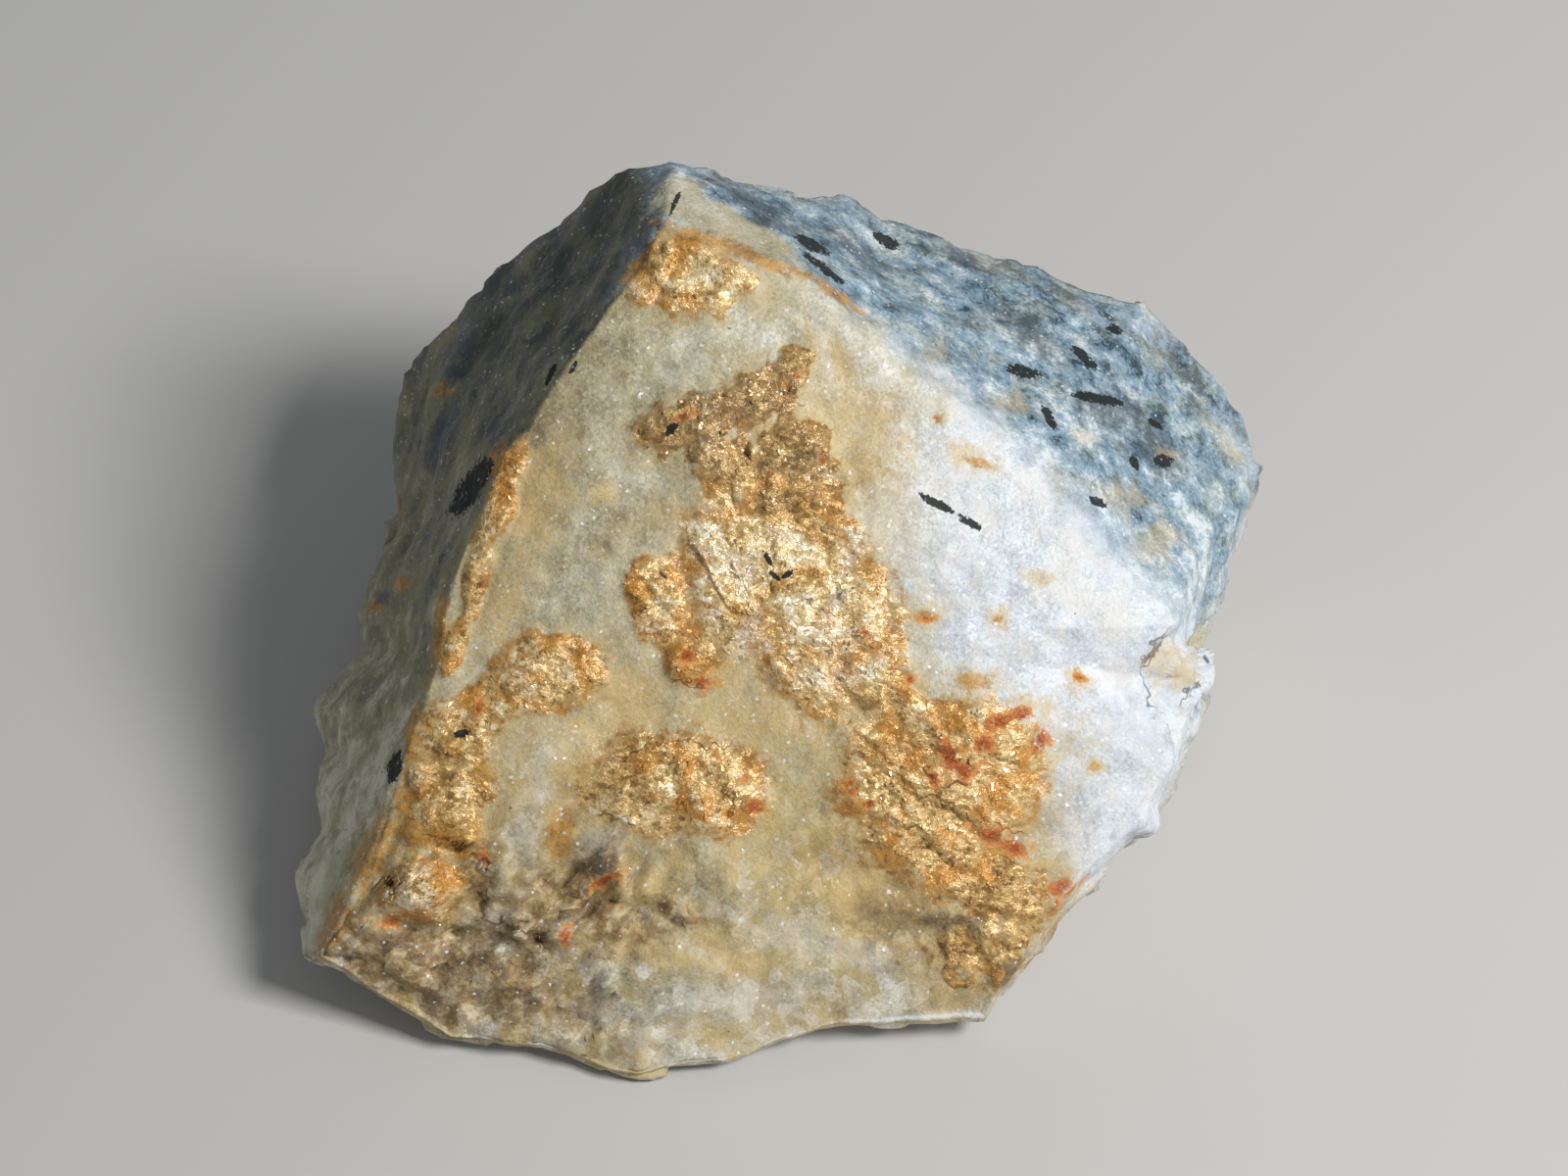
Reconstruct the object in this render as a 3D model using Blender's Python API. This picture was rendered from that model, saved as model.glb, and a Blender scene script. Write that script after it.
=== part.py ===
"""Pyroaurite specimen: a broken block of pale marble with gold pyroaurite crusts on its broad face.

The block is one closed mesh. Five loops are drawn through its corners: the rim of the broad
face, a shoulder, the widest outline, a belt and a foot. Straight lines span the loops, and the
relief of the broken rock is raised on them: beds that stand out as ledges, crusts, lumps and
grooves. Metres, +Z up, with the origin in the middle of the flat underside.
"""

import math

import bpy
import numpy as np
from mathutils import Vector
from mathutils.geometry import delaunay_2d_cdt

MM = 0.001

# The broad face leans back from level by this angle, and its middle stands over the underside.
FACE_SLOPE = math.radians(40.0)
FACE_MIDDLE = np.array((0.0, -6.5, 25.0))
ACROSS = np.array((1.0, 0.0, 0.0))
UP_SLOPE = np.array((0.0, math.cos(FACE_SLOPE), math.sin(FACE_SLOPE)))
BEHIND = np.array((0.0, math.sin(FACE_SLOPE), -math.cos(FACE_SLOPE)))

# Corners of the block, clockwise from the apex as seen square to the broad face. Each row holds
# a point on the rim of the broad face and the point of the outline beyond it, in millimetres
# across, up and behind the middle of the face.
CORNERS = (
    ((-7.5, 24.5, 1.0), (-7.5, 29.6, 11.0)),  # apex
    ((-4.0, 23.0, 1.0), (-3.5, 29.0, 13.0)),
    ((-0.5, 22.0, 1.0), (1.0, 28.5, 15.5)),
    ((3.5, 19.5, 1.0), (4.5, 28.0, 17.0)),
    ((7.0, 16.5, 1.0), (7.0, 26.0, 18.0)),
    ((11.0, 13.0, 1.2), (13.0, 24.5, 20.0)),
    ((14.0, 10.0, 1.3), (18.5, 23.5, 21.0)),
    ((17.0, 7.0, 1.6), (26.5, 20.5, 23.0)),
    ((20.0, 4.0, 2.0), (30.0, 16.5, 24.0)),
    ((23.0, 1.0, 2.5), (33.0, 12.5, 24.5)),
    ((26.0, -1.5, 3.0), (34.5, 8.0, 24.0)),  # far right corner
    ((27.0, -3.0, 3.5), (32.5, 3.0, 21.0)),
    ((27.0, -4.0, 4.0), (28.5, -4.0, 12.0)),  # notch above the right lump
    ((25.5, -6.0, 4.5), (30.5, -6.5, 15.0)),  # right lump
    ((27.0, -10.0, 4.5), (29.5, -9.0, 12.0)),
    ((27.0, -12.5, 4.5), (28.0, -12.0, 9.0)),
    ((24.5, -15.5, 4.0), (25.5, -16.5, 9.0)),
    ((21.5, -18.0, 3.5), (22.5, -19.5, 8.0)),
    ((19.0, -21.0, 3.0), (19.5, -21.5, 5.5)),
    ((17.5, -24.0, 3.0), (17.5, -24.3, 4.5)),
    ((14.0, -29.5, 4.0), (14.0, -29.8, 5.2)),  # lower right corner
    ((8.5, -29.5, 4.0), (8.5, -29.8, 5.0)),
    ((3.0, -30.0, 4.0), (3.0, -30.3, 5.0)),
    ((-3.5, -32.0, 3.5), (-3.5, -32.2, 4.3)),
    ((-9.5, -33.0, 3.0), (-9.5, -33.2, 3.8)),  # toe
    ((-16.0, -31.5, 4.0), (-16.0, -31.8, 4.8)),
    ((-22.5, -30.5, 4.0), (-22.7, -30.6, 4.8)),
    ((-27.0, -27.5, 4.0), (-27.5, -27.6, 5.0)),
    ((-31.0, -25.0, 3.0), (-32.0, -25.0, 5.0)),  # lower left corner
    ((-29.5, -23.0, 2.0), (-33.0, -22.0, 8.0)),
    ((-28.0, -20.0, 1.5), (-34.0, -19.5, 10.0)),
    ((-26.5, -16.0, 1.0), (-32.5, -16.5, 11.5)),
    ((-25.8, -13.8, 1.0), (-33.0, -14.2, 13.0)),
    ((-25.0, -11.5, 1.0), (-32.0, -11.2, 15.0)),
    ((-23.5, -7.5, 1.0), (-33.5, -8.5, 18.0)),  # left lobe
    ((-23.0, -3.5, 1.0), (-29.8, -4.5, 20.0)),
    ((-22.0, 0.5, 0.8), (-30.2, -1.5, 21.0)),
    ((-20.0, 5.0, 0.5), (-28.4, 4.0, 23.0)),
    ((-18.5, 9.0, 0.5), (-27.5, 11.5, 25.0)),  # step in the left ridge
    ((-16.5, 11.0, 0.3), (-25.5, 17.5, 24.0)),
    ((-14.0, 15.0, 0.3), (-22.0, 21.0, 21.0)),
    ((-10.5, 20.0, 0.5), (-16.5, 25.0, 16.5)),
    ((-8.5, 23.0, 0.8), (-11.0, 29.0, 10.5)),
)
FACE_CENTRE = np.array((-1.0, -3.0))

# The shoulder runs half way from rim to outline and stands a little proud of the straight line.
# Near the apex it is the lower edge of a narrow bevelled strip. Corner: (share, proud in mm).
SHOULDER = (0.5, 0.6)
APEX_SHOULDERS = {0: (0.7, 3.5), 1: (0.7, 3.5), 2: (0.42, 2.2), 3: (0.25, 1.0), len(CORNERS) - 1: (0.6, 1.5)}

FOOT_SHARE = 0.80  # the foot is the outline drawn in by this share, on the table
BELT_BULGE = 0.20  # the belt stands out from the middle by this share of the outline's height

# Broken faces on the hidden sides, each an outward direction and its distance from the origin.
BREAKS = (
    ((0.06, 0.97, 0.22), 27.0),
    ((-0.62, 0.78, 0.05), 29.5),
    ((0.72, 0.66, -0.22), 30.5),
    ((0.55, -0.25, -0.80), 12.5),
    ((-0.60, -0.20, -0.77), 16.5),
)

# Pyroaurite crusts on the broad face: across, up, half length, half width (mm), turn (degrees).
CRUSTS = {
    "apex": (-5.5, 21.5, 4.6, 2.0, -18.0),
    "upper": (-1.2, 10.5, 8.3, 3.4, 12.0),
    "neck": (3.5, 8.0, 5.6, 4.5, 0.0),
    "main": (0.6, -0.6, 7.2, 6.0, -20.0),
    "nodule": (-7.6, -1.8, 3.0, 3.3, -20.0),
    "nodule_tail": (-5.6, -5.2, 1.5, 1.1, -30.0),
    "left_upper": (-15.6, -6.0, 4.4, 2.4, 12.0),
    "left_lower": (-21.6, -12.8, 2.9, 6.2, -18.0),
    "lump": (-23.6, -20.0, 3.0, 2.2, 0.0),
    "oval": (-6.7, -13.2, 5.8, 3.2, -4.0),
    "right": (10.6, -12.6, 7.4, 4.8, -8.0),
    "right_low": (10.2, -19.2, 7.2, 2.4, -12.0),
}
CRUST_THICKNESS = 0.5

# Low forms on the broad face: across, up, half length, half width, turn, height (mm, degrees).
FORMS = (
    (-23.6, -20.0, 3.4, 2.6, 0.0, 1.1),  # gold lump
    (-28.3, -23.2, 2.6, 1.6, 30.0, 0.8),  # lumps along the lower left corner
    (-25.5, -25.0, 2.2, 1.6, 0.0, 0.7),
    (-20.0, -24.2, 2.4, 1.4, -15.0, 0.6),
    (-20.6, -20.5, 0.9, 2.3, -12.0, -1.0),  # groove beside the gold lump
    (-14.5, -20.0, 3.6, 3.4, 0.0, -0.9),  # dark hollow
    (9.5, -23.6, 6.0, 2.2, -6.0, -0.7),
    (2.5, -21.5, 4.5, 2.0, 20.0, 0.5),
    (-9.0, -25.5, 7.0, 2.6, 0.0, 0.5),
    (-10.5, 8.0, 6.0, 7.0, 0.0, 0.4),
    (21.5, -8.5, 3.0, 4.0, 20.0, 0.5),
)

BED_SPACING = 3.0  # beds of the marble, which lie along the broad face
BED_RELIEF = 0.55
WANDER = ((8.0, 0.40), (3.4, 0.22))  # size and height of the uneven break, in mm
SPACING = 1.75  # between the points of the sides
FACE_SPACING = 1.7  # and of the broad face
SIDE_LENGTHS = (10.0, 10.0, 9.0, 9.0)  # from loop to loop, to count the rings
CLEAR_OF_TABLE = 0.25
INSIDE_BORDER = 1  # kind of result from the triangulation: only what lies inside the border

MARBLE_COLOUR = (0.60, 0.56, 0.46, 1.0)

rng = np.random.RandomState(29)
SHUFFLE = np.tile(rng.permutation(256), 2)
SLOPES = rng.normal(size=(256, 3))
SLOPES /= np.linalg.norm(SLOPES, axis=1)[:, None]


def noise(points, size, shift=0.0):
    """Smooth gradient noise between about -1 and 1, in lumps about size across."""
    q = points / size + shift
    cell = np.floor(q).astype(int)
    f = q - cell
    fade = f * f * f * (f * (f * 6.0 - 15.0) + 10.0)
    total = np.zeros(points.shape[:-1])
    for corner in np.ndindex(2, 2, 2):
        c = (cell + corner) & 255
        slope = SLOPES[SHUFFLE[SHUFFLE[SHUFFLE[c[..., 0]] + c[..., 1]] + c[..., 2]]]
        weight = np.prod(np.where(corner, fade, 1.0 - fade), axis=-1)
        total += weight * np.sum(slope * (f - corner), axis=-1)
    return 1.7 * total


def smooth_step(low, high, x):
    t = np.clip((x - low) / (high - low), 0.0, 1.0)
    return t * t * (3.0 - 2.0 * t)


def from_face(face):
    """Points given across, up and behind the middle of the broad face, in the part's own axes."""
    axes = np.stack((ACROSS, UP_SLOPE, BEHIND))
    return face @ axes + FACE_MIDDLE


def to_face(points):
    axes = np.stack((ACROSS, UP_SLOPE, BEHIND))
    return (points - FACE_MIDDLE) @ axes.T


def eased(loop, passes):
    """A loop with its corners eased, each pass moving them half way to the middle of their neighbours."""
    for _ in range(passes):
        loop = (np.roll(loop, 1, 0) + 2.0 * loop + np.roll(loop, -1, 0)) / 4.0
    return loop


def corner_loops():
    """The rim, shoulder, outline, belt and foot loops, each an array of the corners' points."""
    rim = np.array([row[0] for row in CORNERS])
    outline = np.array([row[1] for row in CORNERS])
    share, proud = np.array([APEX_SHOULDERS.get(i, SHOULDER) for i in range(len(CORNERS))]).T
    shoulder = rim + share[:, None] * (outline - rim)
    shoulder[:, 2] -= proud * np.minimum(1.0, (outline - rim)[:, 2] / 10.0)
    rim, shoulder, outline = (from_face(loop) for loop in (rim, shoulder, outline))

    foot = eased(outline, 5) * (FOOT_SHARE, FOOT_SHARE, 0.0)
    belt = (eased(outline, 1) + foot) / 2.0
    outward = belt[:, :2] / np.linalg.norm(belt[:, :2], axis=1)[:, None]
    belt[:, :2] += BELT_BULGE * outline[:, 2:] * outward
    return rim, shoulder, outline, belt, foot


def corner_walk(loops, spacing):
    """Places along the loops, as fractions of the corners' numbers: whole steps in each span."""
    spans = np.mean([np.linalg.norm(np.roll(a, -1, 0) - a, axis=1) for a in loops[:3]], axis=0)
    steps = np.maximum(1, np.round(spans / spacing)).astype(int)
    return np.concatenate([i + np.arange(n) / n for i, n in enumerate(steps)])


def side_levels(spacing):
    """Levels of the rings: 1 is the rim, 2 the shoulder, 3 the outline, 4 the belt, 5 the foot."""
    counts = [max(3, round(length / spacing)) for length in SIDE_LENGTHS]
    return np.concatenate([[1.0]] + [1 + i + (np.arange(n) + 1) / n for i, n in enumerate(counts)])


def side_points(walk, levels):
    """Rings of points on the plain sides, by straight lines from loop to loop."""
    places = np.arange(len(CORNERS) + 1)
    rings = []
    for loop in corner_loops():
        closed = np.concatenate((loop, loop[:1]))
        rings.append(np.stack([np.interp(walk, places, closed[:, k]) for k in range(3)], -1))
    rings = np.stack(rings)
    upper = np.minimum(levels.astype(int) - 1, len(rings) - 2)
    share = (levels - 1 - upper)[:, None, None]
    points = rings[upper] + share * (rings[upper + 1] - rings[upper])

    # the hidden sides are cut back to the broken faces, clear of the outline
    hidden = smooth_step(3.0, 3.5, levels)[:, None, None]
    for direction, distance in BREAKS:
        direction = np.array(direction) / np.linalg.norm(direction)
        beyond = np.maximum(points @ direction - distance, 0.0)[..., None]
        points = points - hidden * beyond * direction
    return points


def side_normals(points):
    """Outward unit normals of the rings, those on the rim turned half way to the broad face."""
    along = np.roll(points, -1, 1) - np.roll(points, 1, 1)
    normals = np.cross(np.gradient(points, axis=0), along)
    normals /= np.linalg.norm(normals, axis=-1, keepdims=True)
    normals[0] -= BEHIND
    return normals / np.linalg.norm(normals, axis=-1, keepdims=True)


def face_lattice(rim, spacing):
    """Points on the broad face in rows of triangles, and how far out each is, 1 being the rim.

    The face is flat in the middle and falls away with the third power of the way to the rim."""
    out = rim[:, :2] - FACE_CENTRE
    bearing = np.arctan2(out[:, 1], out[:, 0])
    order = np.argsort(bearing)
    row = spacing * math.sqrt(0.75)
    across, up = np.meshgrid(np.arange(-22, 23) * spacing, np.arange(-24, 25) * row)
    across[1::2] += spacing / 2.0
    lattice = np.stack((across.ravel(), up.ravel()), -1)
    at = np.arctan2(lattice[:, 1], lattice[:, 0])
    reach = np.interp(at, bearing[order], np.hypot(out[:, 0], out[:, 1])[order], period=math.tau)
    depth = np.interp(at, bearing[order], rim[order, 2], period=math.tau)
    far = np.hypot(lattice[:, 0], lattice[:, 1])
    inside = far < reach - 0.6 * spacing
    level = (far / reach)[inside]
    face = np.column_stack((lattice[inside] + FACE_CENTRE, depth[inside] * level**3))
    return face, level


def oval(face, across, up, half_length, half_width, turn):
    """Distance from the middle of an oval on the face, 1 at its edge."""
    angle = math.radians(turn)
    x, y = face[..., 0] - across, face[..., 1] - up
    along = (x * math.cos(angle) + y * math.sin(angle)) / half_length
    aside = (y * math.cos(angle) - x * math.sin(angle)) / half_width
    return np.hypot(along, aside)


def relief(points, level):
    """Height of the surface above the plain block, in millimetres."""
    face = to_face(points)
    on_face = 1.0 - smooth_step(0.95, 1.05, level)
    on_side = smooth_step(1.0, 1.15, level)

    crust = np.zeros(level.shape)
    ragged = 0.16 * noise(points, 3.2, 5.0)
    for shape in CRUSTS.values():
        crust = np.maximum(crust, 1.0 - smooth_step(0.85, 1.1, oval(face, *shape) + ragged))
    height = on_face * CRUST_THICKNESS * crust * (1.0 + 0.5 * noise(points, 2.6, 9.0))

    for *shape, rise in FORMS:
        height += on_face * rise * (1.0 - smooth_step(0.2, 1.15, oval(face, *shape)))
    height += on_face * 0.45 * noise(points, 10.0, 3.0)

    depth = face[..., 2:] + 0.9 * noise(points, 9.0, 7.0)[..., None]
    height += on_side * BED_RELIEF * noise(depth * (0.0, 0.0, 1.0), BED_SPACING, 0.4)
    return height


def broken(points, normals, level):
    """Points moved out to the relief, and a little each way by the uneven break."""
    shift = relief(points, level)[..., None] * normals
    for size, height in WANDER:
        for axis in range(3):
            shift[..., axis] += height * noise(points, size, 11.0 + 4.0 * axis)
    return points + shift


def stone_mesh():
    walk = corner_walk(corner_loops(), SPACING)
    levels = side_levels(SPACING)
    sides = side_points(walk, levels)
    rim_face = to_face(sides[0])
    face, face_levels = face_lattice(rim_face, FACE_SPACING)

    rings, around = sides.shape[:2]
    side_level = np.repeat(levels[:, None], around, axis=1)
    sides_out = broken(sides, side_normals(sides), side_level)
    # the last ring is the edge of the flat underside, and nothing else reaches down to it
    sides_out[:-1, :, 2] = np.maximum(sides_out[:-1, :, 2], CLEAR_OF_TABLE)
    sides_out[-1, :, 2] = 0.0
    face_out = broken(from_face(face), np.tile(-BEHIND, (len(face), 1)), face_levels)

    # the broad face's triangles join the rim and the lattice
    flat = [Vector(point) for point in np.concatenate((rim_face, face))[:, :2]]
    border = list(range(around))[::-1]
    found = delaunay_2d_cdt(flat, [], [border], INSIDE_BORDER, 1e-6)
    place = [originals[0] for originals in found[3]]
    rest = rings * around - around  # the lattice's points follow those of all the rings
    number = [at if at < around else at + rest for at in place]
    faces = [tuple(number[corner] for corner in triangle) for triangle in found[2]]
    for ring in range(rings - 1):
        for j in range(around):
            upper, lower, k = ring * around, (ring + 1) * around, (j + 1) % around
            faces.append((upper + j, upper + k, lower + k, lower + j))
    faces.append(tuple(range((rings - 1) * around, rings * around)))

    mesh = bpy.data.meshes.new("stone")
    vertices = np.concatenate((sides_out.reshape(-1, 3), face_out)) * MM
    mesh.from_pydata(vertices.tolist(), [], faces)
    return mesh


def marble():
    material = bpy.data.materials.new("marble")
    material.use_nodes = True
    shader = material.node_tree.nodes["Principled BSDF"]
    shader.inputs["Base Color"].default_value = MARBLE_COLOUR
    shader.inputs["Roughness"].default_value = 0.6
    shader.inputs["Metallic"].default_value = 0.0
    return material


for leftover in list(bpy.data.objects):
    bpy.data.objects.remove(leftover)

stone = bpy.data.objects.new("stone", stone_mesh())
stone.data.materials.append(marble())
bpy.context.scene.collection.objects.link(stone)
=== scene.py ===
# Pyroaurite specimen: marble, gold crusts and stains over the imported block. Lengths are in millimetres
# until a mesh is made. Needs Blender 4.5.
import math
import bpy
import numpy as np
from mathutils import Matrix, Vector


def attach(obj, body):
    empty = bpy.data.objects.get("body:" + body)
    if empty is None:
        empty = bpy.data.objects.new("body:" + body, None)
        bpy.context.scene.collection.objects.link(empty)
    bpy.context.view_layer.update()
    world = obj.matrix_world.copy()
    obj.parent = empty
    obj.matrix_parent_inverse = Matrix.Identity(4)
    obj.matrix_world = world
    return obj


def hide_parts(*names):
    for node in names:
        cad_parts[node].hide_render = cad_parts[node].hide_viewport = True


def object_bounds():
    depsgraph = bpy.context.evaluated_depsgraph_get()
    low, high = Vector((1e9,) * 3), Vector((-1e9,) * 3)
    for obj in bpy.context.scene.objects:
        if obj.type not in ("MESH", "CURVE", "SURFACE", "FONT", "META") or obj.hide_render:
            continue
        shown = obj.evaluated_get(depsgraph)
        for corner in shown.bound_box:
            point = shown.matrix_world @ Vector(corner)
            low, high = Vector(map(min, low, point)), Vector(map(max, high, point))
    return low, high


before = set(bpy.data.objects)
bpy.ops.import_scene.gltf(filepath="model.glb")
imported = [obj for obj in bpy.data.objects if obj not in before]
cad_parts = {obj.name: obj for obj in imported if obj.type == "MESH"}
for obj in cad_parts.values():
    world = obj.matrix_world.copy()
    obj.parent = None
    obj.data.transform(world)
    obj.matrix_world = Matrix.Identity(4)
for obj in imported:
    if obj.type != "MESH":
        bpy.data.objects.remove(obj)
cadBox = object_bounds()
mm = 0.001

for name in ("Cube", "Light", "Camera"):
    if name in bpy.data.objects:
        bpy.data.objects.remove(bpy.data.objects[name])

broadFace = {
    "slope": 40.0,  # degrees back from level
    "middle": (0.0, -6.5, 25.0),
    "centre": (-1.0, -3.0),  # where its rings close, across and up
}

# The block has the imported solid's corners, with the rim drawn in a little by the right lump.
block = {
    # rim of the broad face, and the outline beyond it: across, up, behind the middle of the face
    "corners": (
        ((-7.5, 24.5, 1.0), (-7.5, 29.6, 11.0)),  # apex
        ((-4.0, 23.0, 1.0), (-3.5, 29.0, 13.0)),
        ((-0.5, 22.0, 1.0), (1.0, 28.5, 15.5)),
        ((3.5, 19.5, 1.0), (4.5, 28.0, 17.0)),
        ((7.0, 16.5, 1.0), (7.0, 26.0, 18.0)),
        ((11.0, 13.0, 1.2), (13.0, 24.5, 20.0)),
        ((14.0, 10.0, 1.3), (18.5, 23.5, 21.0)),
        ((17.0, 7.0, 1.6), (26.5, 20.5, 23.0)),
        ((20.0, 4.0, 2.0), (30.0, 16.5, 24.0)),
        ((23.0, 1.0, 2.5), (33.0, 12.5, 24.5)),
        ((26.0, -1.5, 3.0), (34.5, 8.0, 24.0)),  # far right corner
        ((26.8, -2.6, 3.5), (32.5, 3.0, 21.0)),
        ((25.6, -4.2, 4.0), (28.5, -4.0, 12.0)),  # notch above the right lump
        ((24.2, -6.0, 4.5), (30.5, -6.5, 15.0)),  # right lump
        ((25.6, -9.4, 4.5), (29.5, -9.0, 12.0)),
        ((26.6, -12.2, 4.5), (28.0, -12.0, 9.0)),
        ((24.5, -15.5, 4.0), (25.5, -16.5, 9.0)),
        ((21.5, -18.0, 3.5), (22.5, -19.5, 8.0)),
        ((19.0, -21.0, 3.0), (19.5, -21.5, 5.5)),
        ((17.5, -24.0, 3.0), (17.5, -24.3, 4.5)),
        ((14.0, -29.5, 4.0), (14.0, -29.8, 5.2)),  # lower right corner
        ((8.5, -29.5, 4.0), (8.5, -29.8, 5.0)),
        ((3.0, -30.0, 4.0), (3.0, -30.3, 5.0)),
        ((-3.5, -32.0, 3.5), (-3.5, -32.2, 4.3)),
        ((-9.5, -33.0, 3.0), (-9.5, -33.2, 3.8)),  # toe
        ((-16.0, -31.5, 4.0), (-16.0, -31.8, 4.8)),
        ((-22.5, -30.5, 4.0), (-22.7, -30.6, 4.8)),
        ((-27.0, -27.5, 4.0), (-27.5, -27.6, 5.0)),
        ((-31.0, -25.0, 3.0), (-32.0, -25.0, 5.0)),  # lower left corner
        ((-29.5, -23.0, 2.0), (-33.0, -22.0, 8.0)),
        ((-28.0, -20.0, 1.5), (-34.0, -19.5, 10.0)),
        ((-26.5, -16.0, 1.0), (-32.5, -16.5, 11.5)),
        ((-25.8, -13.8, 1.0), (-33.0, -14.2, 13.0)),
        ((-25.0, -11.5, 1.0), (-32.0, -11.2, 15.0)),
        ((-23.5, -7.5, 1.0), (-33.5, -8.5, 18.0)),  # left lobe
        ((-23.0, -3.5, 1.0), (-29.8, -4.5, 20.0)),
        ((-22.0, 0.5, 0.8), (-30.2, -1.5, 21.0)),
        ((-20.0, 5.0, 0.5), (-28.4, 4.0, 23.0)),
        ((-18.5, 9.0, 0.5), (-27.5, 11.5, 25.0)),  # step in the left ridge
        ((-16.5, 11.0, 0.3), (-25.5, 17.5, 24.0)),
        ((-14.0, 15.0, 0.3), (-22.0, 21.0, 21.0)),
        ((-10.5, 20.0, 0.5), (-16.5, 25.0, 16.5)),
        ((-8.5, 23.0, 0.8), (-11.0, 29.0, 10.5)),
    ),
    "shoulder": (0.5, 0.6),  # share of the way from rim to outline, and how proud
    "ownShoulders": {  # the same, for some corners by their place in the list
        0: (0.7, 3.5), 1: (0.7, 3.5), 2: (0.42, 2.2), 3: (0.25, 1.0), 42: (0.6, 1.5),  # apex
        12: (0.6, 1.4), 13: (0.78, 3.4), 14: (0.7, 2.2),  # right lump
    },
    "proudDepth": 10.0,  # the shoulder is less proud where the outline is less than this behind the rim
    "footShare": 0.80,  # of the outline
    "footPasses": 5,  # of easing
    "beltPasses": 1,
    "beltBulge": 0.20,  # of the height, outwards
    "breaks": (  # broken faces of the hidden sides: outward direction, distance
        ((0.06, 0.97, 0.22), 27.0),
        ((-0.62, 0.78, 0.05), 29.5),
        ((0.72, 0.66, -0.22), 30.5),
        ((0.55, -0.25, -0.80), 12.5),
        ((-0.60, -0.20, -0.77), 16.5),
    ),
    "wallPower": 1.7,  # how late the wall under the outline draws in
    "rimPasses": 12,  # rounding of the rim towards the right
    "rimLevels": (1.04, 0.16, 0.08),  # middle, half width, fade
    "rimAcross": (2.0, 8.0),  # from and to
    "spacing": 0.44,  # round the block
    "frontRings": 70,  # centre to rim
    "sideRings": (26, 26, 20, 20),  # rim to shoulder, outline, belt and foot
    "baseRings": 14,
    "clearOfTable": 0.25,
    "hollowBelow": 0.35,  # mean depth of the hollow in the underside
    "hollowNoise": (1.0, 5.0, 1.0),  # strength, size, shift
    "ringPower": 0.85,  # under 1, so the rings are closer together towards the rim
    "normalPasses": 6,
    # from and to in level: 1 rim, 2 shoulder, 3 outline, 4 belt, 5 foot
    "reach": {
        "edge": (0.90, 1.0),
        "breaks": (3.0, 4.1),
        "offFront": (0.95, 1.05),
        "knobs": (0.9, 1.3),
        "knobsEnd": (2.2, 3.0),
        "beds": (1.0, 1.15),
        "fracture": (2.6, 3.3),
        "hollow": (5.0, 5.15),
        "softSide": (0.9, 1.5),
        "sharpSide": (0.98, 1.06),
        "tanBroken": (1.2, 1.6),
        "tanEnd": (2.2, 2.9),
        "shownEnd": (2.9, 3.2),
        "hidden": (2.6, 3.4),
    },
}

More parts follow.
